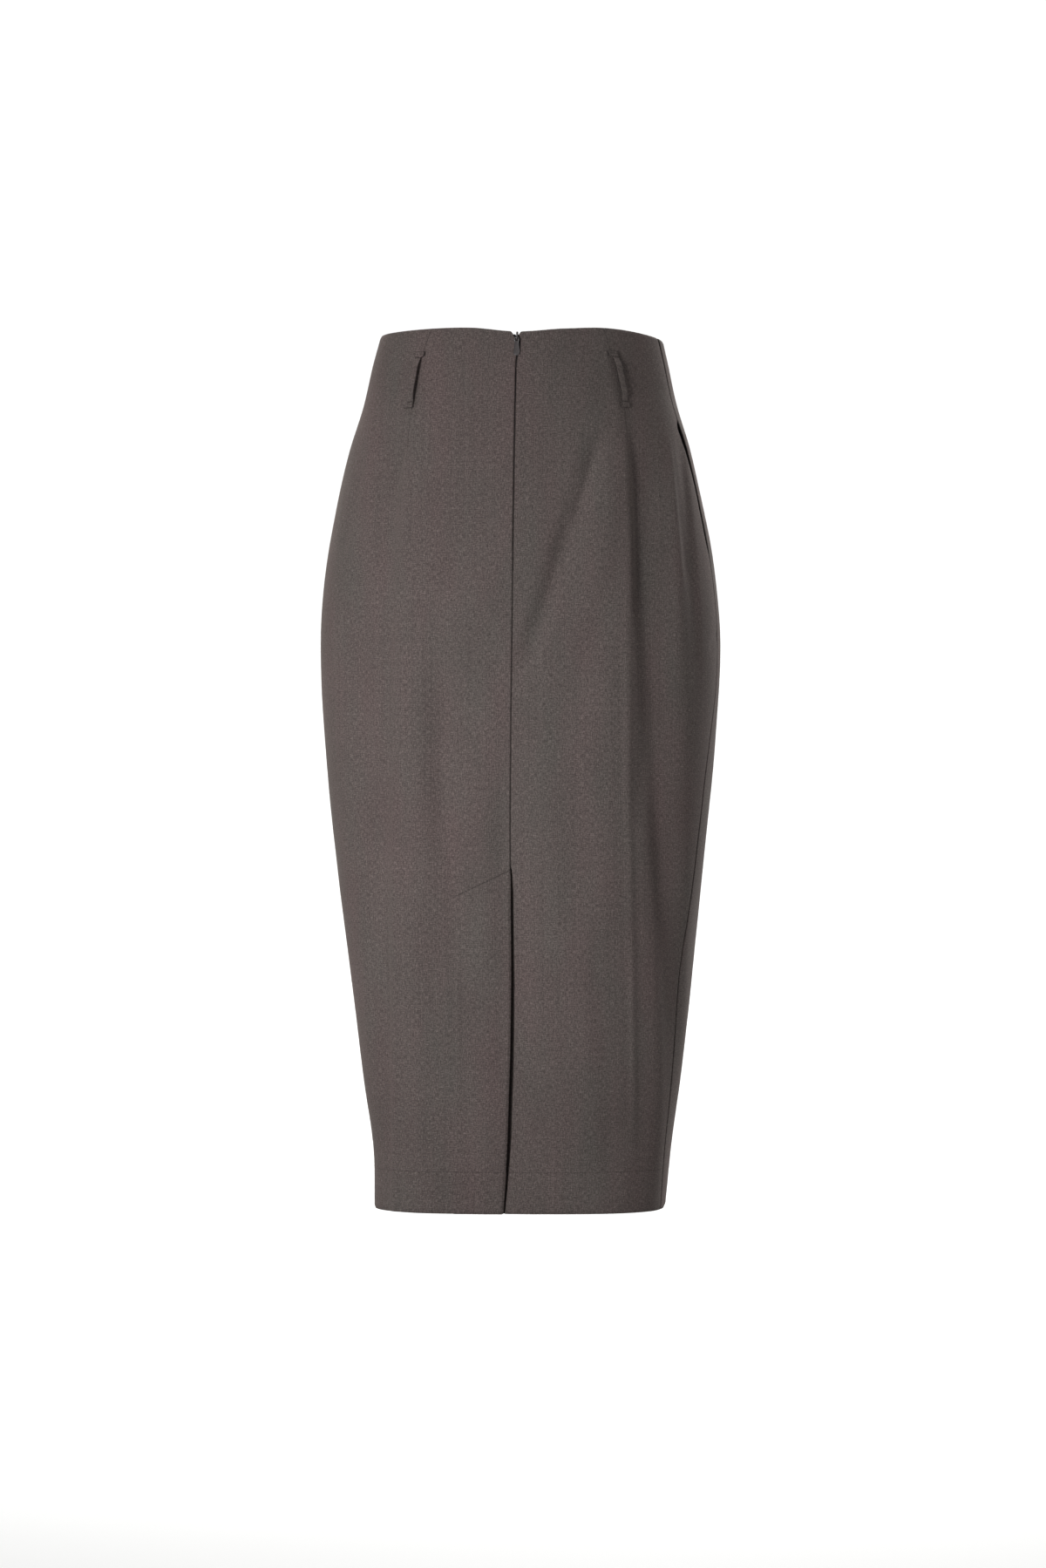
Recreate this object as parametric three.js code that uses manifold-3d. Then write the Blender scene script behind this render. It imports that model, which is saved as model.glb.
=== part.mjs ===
// A pencil skirt: high waist, back zip and vent, side seam pockets and belt loops.
// Millimetres, +Z up. The front faces -Y and the wearer's left is +X.
// The origin is the middle of the waist opening, where the wearer holds the skirt.

import * as THREE from "three";
import { mergeVertices } from "three/addons/utils/BufferGeometryUtils.js";
import Module from "manifold-3d";

const wasm = await Module();
wasm.setup();

// The cloth and how it is sewn
const CLOTH = 1.4; // suiting wall
const SEAM_GAP = 0.3; // between two sewn edges
const LAYER_GAP = 0.6; // between two layers that lie on each other
const HEM_Z = -769;
const HEM_TURN = 35; // depth of the turned-up hem allowance
const HEM_EXTRA = 0.9; // how much thicker the wall is there

// Sections through the skirt from the waist down, as worn by a general figure:
// half width, depth behind and in front of the widest line, how square the corners are,
// and how far the section hangs to the wearer's left
const SECTIONS = [
  { z: 5, half: 124.4, back: 91, front: 86, square: 2.1, lean: -1.2 },
  { z: -24, half: 131.5, back: 95, front: 91, square: 2.1, lean: -0.6 },
  { z: -60, half: 139.3, back: 101, front: 98, square: 2.12, lean: -0.2 },
  { z: -100, half: 151.5, back: 109, front: 106, square: 2.15, lean: 0 },
  { z: -150, half: 163.3, back: 120, front: 111, square: 2.2, lean: 0 },
  { z: -200, half: 172.2, back: 127, front: 112, square: 2.25, lean: 0 },
  { z: -250, half: 177, back: 129, front: 112, square: 2.3, lean: -0.3 },
  { z: -300, half: 176.8, back: 127, front: 111, square: 2.32, lean: -0.4 },
  { z: -360, half: 173.2, back: 122, front: 109, square: 2.36, lean: -0.2 },
  { z: -420, half: 167.6, back: 117, front: 107, square: 2.45, lean: 0 },
  { z: -480, half: 161.5, back: 111, front: 105, square: 2.52, lean: -0.4 },
  { z: -540, half: 153.8, back: 106, front: 102, square: 2.6, lean: -1.2 },
  { z: -600, half: 147.2, back: 101, front: 99, square: 2.7, lean: -2 },
  { z: -660, half: 140.2, back: 97, front: 96, square: 2.8, lean: -2.2 },
  { z: -720, half: 131.6, back: 94, front: 93, square: 2.9, lean: -2.2 },
  { z: -775, half: 128, back: 92, front: 92, square: 3, lean: -0.4 },
];

// The back seam: how far it drifts to the wearer's left, how far the vent stands open,
// and half the gap that the zip leaves between the two edges
const CENTRE_BACK = [
  { z: 5, shift: 0, open: 0.3, slit: 4.2 },
  { z: -6, shift: 0, open: 0.3, slit: 1.3 },
  { z: -14, shift: 0, open: 0.3, slit: 1.2 },
  { z: -24, shift: 0.2, open: 0.3, slit: 0.5 },
  { z: -205, shift: 1, open: 0.3, slit: 0.3 },
  { z: -215, shift: 1.2, open: 0.3, slit: 0.15 },
  { z: -330, shift: 3, open: 0.3, slit: 0.15 },
  { z: -470, shift: 4.3, open: 0.3, slit: 0.15 },
  { z: -560, shift: 5.5, open: 1.4, slit: 0.15 },
  { z: -640, shift: 7.6, open: 2.8, slit: 0.15 },
  { z: -700, shift: 9.8, open: 3, slit: 0.15 },
  { z: -775, shift: 12.6, open: 1.6, slit: 0.15 },
];

// How far behind the widest line each side seam lies
const SIDE_SEAMS = [
  { z: 5, left: 20, right: 25 },
  { z: -30, left: 13, right: 24 },
  { z: -80, left: 4, right: 24 },
  { z: -200, left: 2, right: 29 },
  { z: -290, left: 2, right: 28 },
  { z: -395, left: 3, right: 42 },
  { z: -558, left: 4, right: 50 },
  { z: -700, left: 4, right: 43 },
  { z: -775, left: 4, right: 38 },
];

// Height of the waist edge round the skirt, by turn from the centre back to the wearer's left
const WAIST_EDGE = [
  { turn: -0.5, rise: -5 },
  { turn: -0.25, rise: -3.4 },
  { turn: -0.12, rise: 3 },
  { turn: -0.06, rise: 1.6 },
  { turn: 0, rise: -1.2 },
  { turn: 0.06, rise: 2.6 },
  { turn: 0.12, rise: 3 },
  { turn: 0.25, rise: 1 },
  { turn: 0.5, rise: -5 },
];
const WAIST_FADE = 60; // below this the rows are level

// Large folds as they hang: height and distance from the centre back line at both ends,
// a bow outwards between them, reach towards the centre and away from it, height of the
// crest (a trough is below zero), and the length over which each end dies away
const FOLDS = [
  { name: "pleat crest left", top: -66, at: 90, foot: -775, end: 105, bow: 3, inner: 50, outer: 19,
    lift: 3.8, fadeTop: 150, fadeFoot: 420 },
  { name: "pleat fall left", top: -70, at: 110, foot: -740, end: 124, bow: 3, inner: 17, outer: 30,
    lift: -3.2, fadeTop: 160, fadeFoot: 340 },
  { name: "pleat crest right", top: -66, at: -88, foot: -720, end: -126, bow: 0, inner: 52, outer: 22,
    lift: 4.6, fadeTop: 120, fadeFoot: 420 },
  { name: "pleat fall right", top: -70, at: -114, foot: -690, end: -152, bow: 0, inner: 21, outer: 32,
    lift: -4.6, fadeTop: 130, fadeFoot: 380 },
  { name: "pocket crest right", top: -90, at: -150, foot: -300, end: -154, bow: 0, inner: 13, outer: 12,
    lift: 1.2, fadeTop: 60, fadeFoot: 110 },
  { name: "pocket hollow right", top: -90, at: -168, foot: -300, end: -174, bow: 0, inner: 13, outer: 11,
    lift: -1.8, fadeTop: 60, fadeFoot: 110 },
  { name: "slant hollow right", top: -85, at: -74, foot: -300, end: -4, bow: -5, inner: 17, outer: 17,
    lift: -2.8, fadeTop: 60, fadeFoot: 70 },
  { name: "slant crest right", top: -110, at: -92, foot: -330, end: -32, bow: -5, inner: 20, outer: 20,
    lift: 1.4, fadeTop: 70, fadeFoot: 90 },
  { name: "seat hollow left", top: -205, at: 146, foot: -430, end: 140, bow: 3, inner: 20, outer: 20,
    lift: -2.4, fadeTop: 90, fadeFoot: 130 },
  { name: "long hollow left", top: -240, at: 66, foot: -520, end: 60, bow: 2, inner: 18, outer: 16,
    lift: -1.8, fadeTop: 110, fadeFoot: 150 },
  { name: "back seam hollow", top: -300, at: 4, foot: -775, end: 9, bow: 0, inner: 24, outer: 24,
    lift: -1.4, fadeTop: 140, fadeFoot: 1 },
  { name: "front crest left", top: -90, at: 318, foot: -640, end: 292, bow: 0, inner: 34, outer: 24,
    lift: 3, fadeTop: 120, fadeFoot: 300 },
  { name: "front fall left", top: -120, at: 294, foot: -600, end: 268, bow: 0, inner: 20, outer: 18,
    lift: -2, fadeTop: 120, fadeFoot: 260 },
  { name: "front crest right", top: -80, at: -322, foot: -600, end: -300, bow: 0, inner: 30, outer: 26,
    lift: 2.6, fadeTop: 110, fadeFoot: 280 },
  { name: "front fall right", top: -110, at: -296, foot: -640, end: -272, bow: 0, inner: 22, outer: 18,
    lift: -2.4, fadeTop: 140, fadeFoot: 260 },
  { name: "lap hollow", top: -300, at: 400, foot: -760, end: 372, bow: 0, inner: 60, outer: 60,
    lift: -2.6, fadeTop: 180, fadeFoot: 120 },
];

// The vent: its top at the back seam, the slant of its topstitched head, and the underlap
const VENT_TOP = -470;
const VENT_SLANT = 22;
const UNDERLAP = 48;
const UNDERLAP_SINK = CLOTH + LAYER_GAP + 0.6;
const UNDERLAP_STEP = 4; // length of seam over which the edge sinks at the vent's head

// Rows of a panel from the waist to the hem: a height, and how many rows lead down to it
const PANEL_ROWS = [
  { z: 0, rows: 0 },
  { z: -24, rows: 3 },
  { z: VENT_TOP + UNDERLAP_STEP, rows: 20 },
  { z: VENT_TOP, rows: 1 },
  { z: HEM_Z + HEM_TURN + 1.5, rows: 9 },
  { z: HEM_Z + HEM_TURN, rows: 1 },
  { z: HEM_Z, rows: 2 },
];
const BACK_COLUMNS = 22;
const BACK_CROWDING = 0.3; // how much the columns crowd at the pleat, mid-panel
const FRONT_COLUMNS = 28;
const FRONT_CROWDING = -0.35; // the front's columns crowd at its sides instead

// Pockets in the side seams
const POCKET = { top: -78, foot: -205, open: 3.6, bagTop: -64, bagFoot: -322, layer: 1 };
const POCKET_FACING = 11; // how far the bag reaches behind the back panel
const POCKET_SINK = 1.1; // from the panel's inner face to the bag
const POCKET_SAG = 2.4; // how much deeper the bag hangs away from the seam
const POCKET_HOLLOW = 3.2; // between the bag's two layers
const POCKET_REACH = [
  { z: -64, reach: 46 },
  { z: -120, reach: 96 },
  { z: -200, reach: 124 },
  { z: -270, reach: 116 },
  { z: -305, reach: 88 },
  { z: -322, reach: 44 },
];

// Belt loops: distance of the strap's middle from the centre back at its top and foot
const LOOP = { width: 8.6, thick: 1.8, stand: 4.2, seat: 0.5, tack: 0.1 };
const BELT_LOOPS = [
  { name: "belt_loop_back_left", top: -16.5, at: 89.5, foot: -66.5, end: 96.5 },
  { name: "belt_loop_back_right", top: -16.5, at: -87.5, foot: -66.5, end: -99 },
  { name: "belt_loop_front_left", top: -19, at: 262, foot: -69, end: 288 },
  { name: "belt_loop_front_right", top: -19, at: -262, foot: -69, end: -288 },
];

// The concealed zip
const TAPE = { width: 12.5, thick: 0.8, sink: 0.6, top: -3, foot: -216, spread: 1.25 };
const SLIDER = { width: 6.4, length: 9, thick: 2.4, top: -3.6, neck: 1.1, neckLength: 3.6 };
const PULL_AXIS = { z: -6.4, out: 1.9 };
const EYE = { radius: 1.62, wire: 0.54 };
const PULL = {
  length: 16.2, thick: 1, neck: 3.7, belly: 5.6, bar: 0.47, slotWidth: 1.9, slotFoot: 2.66, shoulder: 3.4,
};
const PULL_TUCK = 3.4; // degrees that the tab leans in to the cloth

const CLOTH_LOOK = { color: 0x57504c, roughness: 0.92, metalness: 0 };
const BAG_LOOK = { color: 0x4a4542, roughness: 0.85, metalness: 0 };
const TAPE_LOOK = { color: 0x45444a, roughness: 0.8, metalness: 0 };
const METAL_LOOK = { color: 0x46464c, roughness: 0.42, metalness: 0.5 };

const clamp = (value, low, high) => Math.min(Math.max(value, low), high);
const mix = (a, b, t) => a + (b - a) * t;
const smooth = (t) => {
  const u = clamp(t, 0, 1);
  return u * u * (3 - 2 * u);
};
const power = (value, exponent) => Math.sign(value) * Math.abs(value) ** exponent;

// Reads one column of a table at any place, on a smooth curve through its rows.
function read(rows, key, name, place) {
  const last = rows.length - 1;
  const falling = rows[last][key] < rows[0][key];
  let i = 0;
  while (i < last - 1 && (falling ? place < rows[i + 1][key] : place > rows[i + 1][key])) i += 1;
  const a = rows[i];
  const b = rows[i + 1];
  const span = b[key] - a[key];
  const slope = (j) => {
    const low = rows[Math.max(j - 1, 0)];
    const high = rows[Math.min(j + 1, last)];
    return (high[name] - low[name]) / (high[key] - low[key]);
  };
  const t = clamp((place - a[key]) / span, 0, 1);
  const rise = t * t * (3 - 2 * t);
  const leave = t * (1 - t) * (1 - t);
  const arrive = t * t * (1 - t);
  return mix(a[name], b[name], rise) + span * (leave * slope(i) - arrive * slope(i + 1));
}

// Reads one column of a table at a place, on straight lines between its rows.
function readStraight(rows, name, z) {
  let i = 0;
  while (i < rows.length - 2 && z < rows[i + 1].z) i += 1;
  const t = clamp((z - rows[i].z) / (rows[i + 1].z - rows[i].z), 0, 1);
  return mix(rows[i][name], rows[i + 1][name], t);
}

const SAMPLES = 720;
const sections = new Map();

// The closed outline at one height, from the centre back round by the wearer's left.
function section(z) {
  const known = sections.get(z);
  if (known) return known;
  const half = read(SECTIONS, "z", "half", z);
  const back = read(SECTIONS, "z", "back", z);
  const front = read(SECTIONS, "z", "front", z);
  const square = read(SECTIONS, "z", "square", z);
  const lean = read(SECTIONS, "z", "lean", z);
  const points = [];
  let run = 0;
  for (let i = 0; i <= SAMPLES; i += 1) {
    const angle = (2 * Math.PI * i) / SAMPLES;
    const depth = Math.cos(angle) > 0 ? back : front;
    const x = half * power(Math.sin(angle), 2 / square);
    const y = depth * power(Math.cos(angle), 2 / square);
    if (i > 0) run += Math.hypot(x - points[i - 1].x, y - points[i - 1].y);
    points.push({ x, y, run });
  }
  const made = { half, back, front, square, lean, points, round: run };
  sections.set(z, made);
  return made;
}

// Distance along the section from the centre back to the side point this far behind the widest line.
function sideRun(z, side, behind) {
  const ring = section(z);
  const quarter = SAMPLES / 4;
  let i = side > 0 ? 0 : SAMPLES;
  while (Math.abs(i - (side > 0 ? 0 : SAMPLES)) < quarter && ring.points[i + side].y > behind) i += side;
  const a = ring.points[i];
  const b = ring.points[i + side];
  const t = (a.y - behind) / (a.y - b.y);
  const run = mix(a.run, b.run, t);
  return side > 0 ? run : run - ring.round;
}

// How far the large folds push the cloth out at this place.
function relief(s, z, round) {
  let push = 0;
  for (const fold of FOLDS) {
    const t = clamp((z - fold.top) / (fold.foot - fold.top), 0, 1);
    const line = mix(fold.at, fold.end, t) + fold.bow * Math.sin(Math.PI * t);
    let away = s - line;
    away -= round * Math.round(away / round);
    if (fold.at < 0) away = -away;
    const reach = Math.abs(away) / (away > 0 ? fold.outer : fold.inner);
    if (reach < 1) {
      const grow = smooth((fold.top + fold.fadeTop * 0.3 - z) / fold.fadeTop);
      const die = smooth((z - fold.foot + fold.fadeFoot * 0.3) / fold.fadeFoot);
      push += fold.lift * grow * die * Math.cos((Math.PI / 2) * reach) ** 2;
    }
  }
  return push;
}

// The point on the cloth at distance s round from the centre back and height z, moved out square to it.
function skin(s, z, out) {
  const ring = section(z);
  const run = ((s % ring.round) + ring.round) % ring.round;
  let low = 0;
  let high = SAMPLES;
  while (high - low > 1) {
    const middle = (low + high) >> 1;
    if (ring.points[middle].run > run) high = middle;
    else low = middle;
  }
  const a = ring.points[low];
  const b = ring.points[high];
  const t = (run - a.run) / (b.run - a.run);
  const x = mix(a.x, b.x, t);
  const y = mix(a.y, b.y, t);
  const depth = y > 0 ? ring.back : ring.front;
  const normal = new THREE.Vector2(
    power(x / ring.half, ring.square - 1) / ring.half,
    power(y / depth, ring.square - 1) / depth,
  ).normalize();
  const push = out + relief(s, z, ring.round);
  return new THREE.Vector3(x + ring.lean + normal.x * push, y + normal.y * push, z);
}

// Lays heights between the stops of a row table.
function heights(stops) {
  const list = [];
  stops.forEach((stop, i) => {
    if (i === 0) list.push(stop.z);
    for (let k = 1; k <= stop.rows; k += 1) list.push(mix(stops[i - 1].z, stop.z, k / stop.rows));
  });
  return list;
}

// Height of the cloth's own row at this place: level low down, following the waist edge at the top.
function rowHeight(s, z) {
  const { round } = section(z);
  const turn = s / round - Math.round(s / round);
  const rise = read(WAIST_EDGE, "turn", "rise", turn);
  return z + rise * clamp(1 + z / WAIST_FADE, 0, 1);
}

// How thick the wall is: the hem allowance is turned up behind it.
const wallAt = (z) => (z <= HEM_Z + HEM_TURN ? CLOTH + HEM_EXTRA : CLOTH);

// Closes the wall between an outer and an inner face laid on a grid of columns and rows.
// place(column, row) gives both points, and has(column, row) says whether a cell is cloth.
function wall(columns, rows, place, has = () => true) {
  const outer = [];
  const inner = [];
  for (let c = 0; c < columns; c += 1) {
    for (let r = 0; r < rows; r += 1) {
      const [out, back] = place(c, r);
      outer.push(out);
      inner.push(back);
    }
  }
  const at = (c, r) => c * rows + r;
  const corners = [];
  const quad = (a, b, c, d) => corners.push(a, b, c, a, c, d);
  const filled = (c, r) => c >= 0 && r >= 0 && c < columns - 1 && r < rows - 1 && has(c, r);
  for (let c = 0; c < columns - 1; c += 1) {
    for (let r = 0; r < rows - 1; r += 1) {
      if (!filled(c, r)) continue;
      const ring = [at(c, r), at(c + 1, r), at(c + 1, r + 1), at(c, r + 1)];
      quad(...ring.map((i) => outer[i]));
      quad(...ring.map((i) => inner[i]).reverse());
      const beside = [[c, r - 1], [c + 1, r], [c, r + 1], [c - 1, r]];
      beside.forEach(([bc, br], k) => {
        if (filled(bc, br)) return;
        const a = ring[k];
        const b = ring[(k + 1) % 4];
        quad(outer[b], outer[a], inner[a], inner[b]);
      });
    }
  }
  const numbers = corners.flatMap((p) => [p.x, p.y, p.z]);
  const geometry = new THREE.BufferGeometry();
  geometry.setAttribute("position", new THREE.Float32BufferAttribute(numbers, 3));
  return closed(geometry);
}

// Keeps only positions and joins the corners that meet.
function closed(geometry) {
  geometry.deleteAttribute("normal");
  geometry.deleteAttribute("uv");
  return mergeVertices(geometry, 1e-4);
}

function toSolid(geometry) {
  const merged = closed(geometry);
  const vertProperties = new Float32Array(merged.attributes.position.array);
  const triVerts = new Uint32Array(merged.index.array);
  return new wasm.Manifold(new wasm.Mesh({ numProp: 3, vertProperties, triVerts }));
}

function fromSolid(solid) {
  const { vertProperties, triVerts } = solid.getMesh();
  const geometry = new THREE.BufferGeometry();
  geometry.setAttribute("position", new THREE.Float32BufferAttribute(vertProperties, 3));
  geometry.setIndex(new THREE.Uint32BufferAttribute(triVerts, 1));
  return geometry;
}

// Where the pocket mouth holds a side seam open, from 0 at its ends to 1 in the middle.
function mouth(z) {
  const t = (z - POCKET.top) / (POCKET.foot - POCKET.top);
  return t > 0 && t < 1 ? Math.sin(Math.PI * t) ** 0.7 : 0;
}

// The side seam's distance from the centre back. Side is 1 at the wearer's left and -1 at the right.
function sideSeam(side, z) {
  const behind = read(SIDE_SEAMS, "z", side > 0 ? "left" : "right", z);
  return sideRun(z, side, behind);
}

const backSeam = (z) => readStraight(CENTRE_BACK, "shift", z);
const slitAt = (z) => readStraight(CENTRE_BACK, "slit", z);
const ventOpen = (z) => readStraight(CENTRE_BACK, "open", z);

// A back panel's edge at the side seam, drawn back where the pocket opens.
function backPanelEdge(side, z) {
  return sideSeam(side, z) - side * (SEAM_GAP / 2 + 0.7 * POCKET.open * mouth(z));
}

function frontPanelEdge(side, z) {
  return sideSeam(side, z) + side * (SEAM_GAP / 2 + 0.3 * POCKET.open * mouth(z));
}

// Where a column lies across a panel, from 0 at one edge to 1 at the other.
function crowded(t, crowding = BACK_CROWDING) {
  return t + (crowding * Math.sin(2 * Math.PI * t)) / (2 * Math.PI);
}

// Two faces of the wall at one place of the cloth.
function faces(s, z, out, thick) {
  const height = rowHeight(s, z);
  return [skin(s, height, out), skin(s, height, out - thick)];
}

// The left back panel, from the back seam and the vent's lapping edge to the side seam.
function backLeft() {
  const rows = heights(PANEL_ROWS);
  return wall(BACK_COLUMNS + 1, rows.length, (c, r) => {
    const z = rows[r];
    const start = backSeam(z) + slitAt(z);
    const s = mix(start, backPanelEdge(1, z), crowded(c / BACK_COLUMNS));
    return faces(s, z, 0, wallAt(z));
  });
}

// How deep the right panel dips to pass under the left one, by distance past the back seam.
function underlapDip(past, z) {
  const across = smooth((past + ventOpen(z) + 1) / (ventOpen(z) + 0.6));
  const down = clamp((VENT_TOP + UNDERLAP_STEP - z) / UNDERLAP_STEP, 0, 1);
  return -UNDERLAP_SINK * across * down;
}

// The right back panel, with the vent's underlap reaching under the left one.
function backRight() {
  const rows = heights(PANEL_ROWS);
  const ventRow = rows.indexOf(VENT_TOP);
  const roll = [4.4, 2.6, 1.3]; // columns that shape the rolled edge, by distance from it
  const lap = [4, 14, 26, 38, UNDERLAP]; // columns of the underlap, by distance past the seam
  const main = BACK_COLUMNS - roll.length;
  const columns = main + 1 + roll.length + 1 + lap.length;
  const edgeColumn = main + 1 + roll.length;
  return wall(columns, rows.length, (c, r) => {
    const z = rows[r];
    const seam = backSeam(z);
    const edge = seam - slitAt(z);
    let s = edge;
    if (c <= main) s = mix(backPanelEdge(-1, z), edge - roll[0] - 3, crowded(c / main));
    else if (c < edgeColumn) s = edge - roll[c - main - 1];
    else if (c > edgeColumn) s = seam + lap[c - edgeColumn - 1];
    const past = Math.max(s - seam, 0);
    const slant = (VENT_SLANT * past) / UNDERLAP;
    const low = clamp((z - HEM_Z) / (VENT_TOP - HEM_Z), 0, 1);
    const place = z - slant * low;
    return faces(s, place, underlapDip(s - seam, z), wallAt(z));
  }, (c, r) => c < edgeColumn || r >= ventRow);
}

function front() {
  const rows = heights(PANEL_ROWS);
  return wall(FRONT_COLUMNS + 1, rows.length, (c, r) => {
    const z = rows[r];
    const { round } = section(z);
    const across = crowded(c / FRONT_COLUMNS, FRONT_CROWDING);
    const s = mix(frontPanelEdge(1, z), frontPanelEdge(-1, z) + round, across);
    return faces(s, z, 0, wallAt(z));
  });
}

// A slab that follows the cloth between two depths, for the layers of a pocket bag.
function slab(side, top, foot, rows, columns, near, reach, outer, inner) {
  return toSolid(wall(columns + 1, rows + 1, (c, r) => {
    const z = mix(top, foot, r / rows);
    const seam = sideSeam(side, z);
    const from = side > 0 ? near : -reach(z);
    const to = side > 0 ? reach(z) : -near;
    const past = mix(from, to, c / columns);
    const sag = POCKET_SAG * smooth((side * past) / 60);
    return [skin(seam + past, z, outer - sag), skin(seam + past, z, inner - sag)];
  }));
}

// A pocket bag: two layers round a flat hollow, open where the seam is.
function pocketBag(side) {
  const outer = -CLOTH - POCKET_SINK;
  const hollowOuter = outer - POCKET.layer;
  const hollowInner = hollowOuter - POCKET_HOLLOW;
  const inner = hollowInner - POCKET.layer;
  const reach = (z) => read(POCKET_REACH, "z", "reach", z);
  const rows = 12;
  const columns = 9;
  const body = slab(side, POCKET.bagTop, POCKET.bagFoot, rows, columns, -POCKET_FACING, reach, outer, inner);
  const hollow = slab(side, POCKET.bagTop - 1.5, POCKET.bagFoot + 1.5, rows, columns, 1.4 - POCKET_FACING,
    (z) => reach(z) - 1.4, hollowOuter, hollowInner);
  const window = slab(side, POCKET.top + 3, POCKET.foot - 3, 8, 2, 4 - POCKET_FACING, () => 2.5,
    outer + 1, hollowOuter - 1);
  return fromSolid(body.subtract(hollow).subtract(window));
}

// A belt loop: a strap tacked flat at both ends and standing off the cloth between them.
function beltLoop({ top, at, foot, end }) {
  const steps = 14;
  const across = 2;
  return wall(across + 1, steps + 1, (c, r) => {
    const t = r / steps;
    const z = mix(top, foot, t);
    const s = mix(at, end, t) + LOOP.width * (c / across - 0.5);
    const rise = smooth((t - LOOP.tack) / 0.3) * smooth((1 - LOOP.tack - t) / 0.3);
    const out = LOOP.seat + (LOOP.stand - LOOP.seat) * rise;
    return [skin(s, z, out + LOOP.thick), skin(s, z, out)];
  });
}

// One tape of the zip, behind a back panel's edge and spread round the slider.
function zipTape(side) {
  const rows = 22;
  const columns = 2;
  const out = -CLOTH - TAPE.sink;
  return wall(columns + 1, rows + 1, (c, r) => {
    const z = mix(TAPE.top, TAPE.foot, (r / rows) ** 1.5);
    const spread = TAPE.spread * smooth((z + 32) / 14);
    const near = Math.max(spread, SEAM_GAP / 2);
    const from = side > 0 ? near : -TAPE.width;
    const to = side > 0 ? TAPE.width : -near;
    const s = backSeam(z) + mix(from, to, c / columns);
    return [skin(s, z, out), skin(s, z, out - TAPE.thick)];
  });
}

const pullAxis = skin(0, PULL_AXIS.z, PULL_AXIS.out);

// A block standing square to the centre back at the slider, between two depths.
function centreBlock(width, top, length, outer, inner) {
  const [high, low] = [skin(0, top, 0).y, skin(0, top - length, 0).y];
  const shape = new THREE.Shape();
  shape.moveTo(high + outer, top);
  shape.lineTo(high + inner, top);
  shape.lineTo(low + inner, top - length);
  shape.lineTo(low + outer, top - length);
  const geometry = new THREE.ExtrudeGeometry(shape, { depth: width, bevelEnabled: false });
  geometry.translate(0, 0, -width / 2);
  geometry.applyMatrix4(new THREE.Matrix4().makeBasis(
    new THREE.Vector3(0, 1, 0),
    new THREE.Vector3(0, 0, 1),
    new THREE.Vector3(1, 0, 0),
  ));
  geometry.translate(pullAxis.x, 0, 0);
  return toSolid(geometry);
}

// The slider: its body behind the tapes, a neck through the slit, and the eye that holds the tab.
function zipSlider() {
  const behind = -CLOTH - TAPE.sink - TAPE.thick - 0.4;
  const body = centreBlock(SLIDER.width, SLIDER.top, SLIDER.length, behind, behind - SLIDER.thick);
  const neckTop = PULL_AXIS.z + SLIDER.neckLength / 2;
  const neck = centreBlock(SLIDER.neck, neckTop, SLIDER.neckLength, 0.5, behind - 0.5);
  const ring = new THREE.TorusGeometry(EYE.radius, EYE.wire, 8, 20);
  ring.rotateY(Math.PI / 2);
  ring.translate(pullAxis.x, pullAxis.y, pullAxis.z);
  return fromSolid(body.add(neck).add(toSolid(ring)));
}

// The pull tab: a drop-shaped plate with a slot below the bar that turns in the eye.
function zipPull() {
  const { length, thick, neck, belly, bar, slotWidth, slotFoot, shoulder } = PULL;
  const shape = new THREE.Shape();
  const foot = -length + bar;
  shape.moveTo(-neck / 2, bar);
  shape.lineTo(-neck / 2, -shoulder);
  shape.bezierCurveTo(-neck / 2, foot * 0.55, -belly / 2, foot * 0.62, -belly / 2, foot + belly * 0.62);
  shape.bezierCurveTo(-belly / 2, foot + belly * 0.2, -belly * 0.22, foot, 0, foot);
  shape.bezierCurveTo(belly * 0.22, foot, belly / 2, foot + belly * 0.2, belly / 2, foot + belly * 0.62);
  shape.bezierCurveTo(belly / 2, foot * 0.62, neck / 2, foot * 0.55, neck / 2, -shoulder);
  shape.lineTo(neck / 2, bar);
  const slot = new THREE.Path();
  slot.moveTo(-slotWidth / 2, -bar);
  slot.lineTo(slotWidth / 2, -bar);
  slot.lineTo(slotWidth / 2, -slotFoot);
  slot.lineTo(-slotWidth / 2, -slotFoot);
  shape.holes.push(slot);
  const geometry = new THREE.ExtrudeGeometry(shape, { depth: thick, bevelEnabled: false, curveSegments: 8 });
  geometry.translate(0, 0, -thick / 2);
  geometry.rotateX(Math.PI / 2);
  return closed(geometry);
}

const skirt = new THREE.Group();

function add(name, geometry, look) {
  const mesh = new THREE.Mesh(geometry, new THREE.MeshStandardMaterial(look));
  mesh.name = name;
  skirt.add(mesh);
  return mesh;
}

add("back_left", backLeft(), CLOTH_LOOK);
add("back_right", backRight(), CLOTH_LOOK);
add("front", front(), CLOTH_LOOK);
for (const loop of BELT_LOOPS) add(loop.name, beltLoop(loop), CLOTH_LOOK);
add("pocket_bag_left", pocketBag(1), BAG_LOOK);
add("pocket_bag_right", pocketBag(-1), BAG_LOOK);
add("zip_tape_left", zipTape(1), TAPE_LOOK);
add("zip_tape_right", zipTape(-1), TAPE_LOOK);
add("zip_slider", zipSlider(), METAL_LOOK);

const pull = add("zip_pull", zipPull(), METAL_LOOK);
const below = skin(0, PULL_AXIS.z - PULL.length, PULL_AXIS.out);
const lean = Math.atan2(below.y - pullAxis.y, pullAxis.z - below.z);
pull.position.copy(pullAxis);
pull.rotation.x = lean - THREE.MathUtils.degToRad(PULL_TUCK);

export default skirt;
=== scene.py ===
"""A pencil skirt in taupe suiting: cloth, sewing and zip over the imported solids, with a studio and a camera."""

import math

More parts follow.
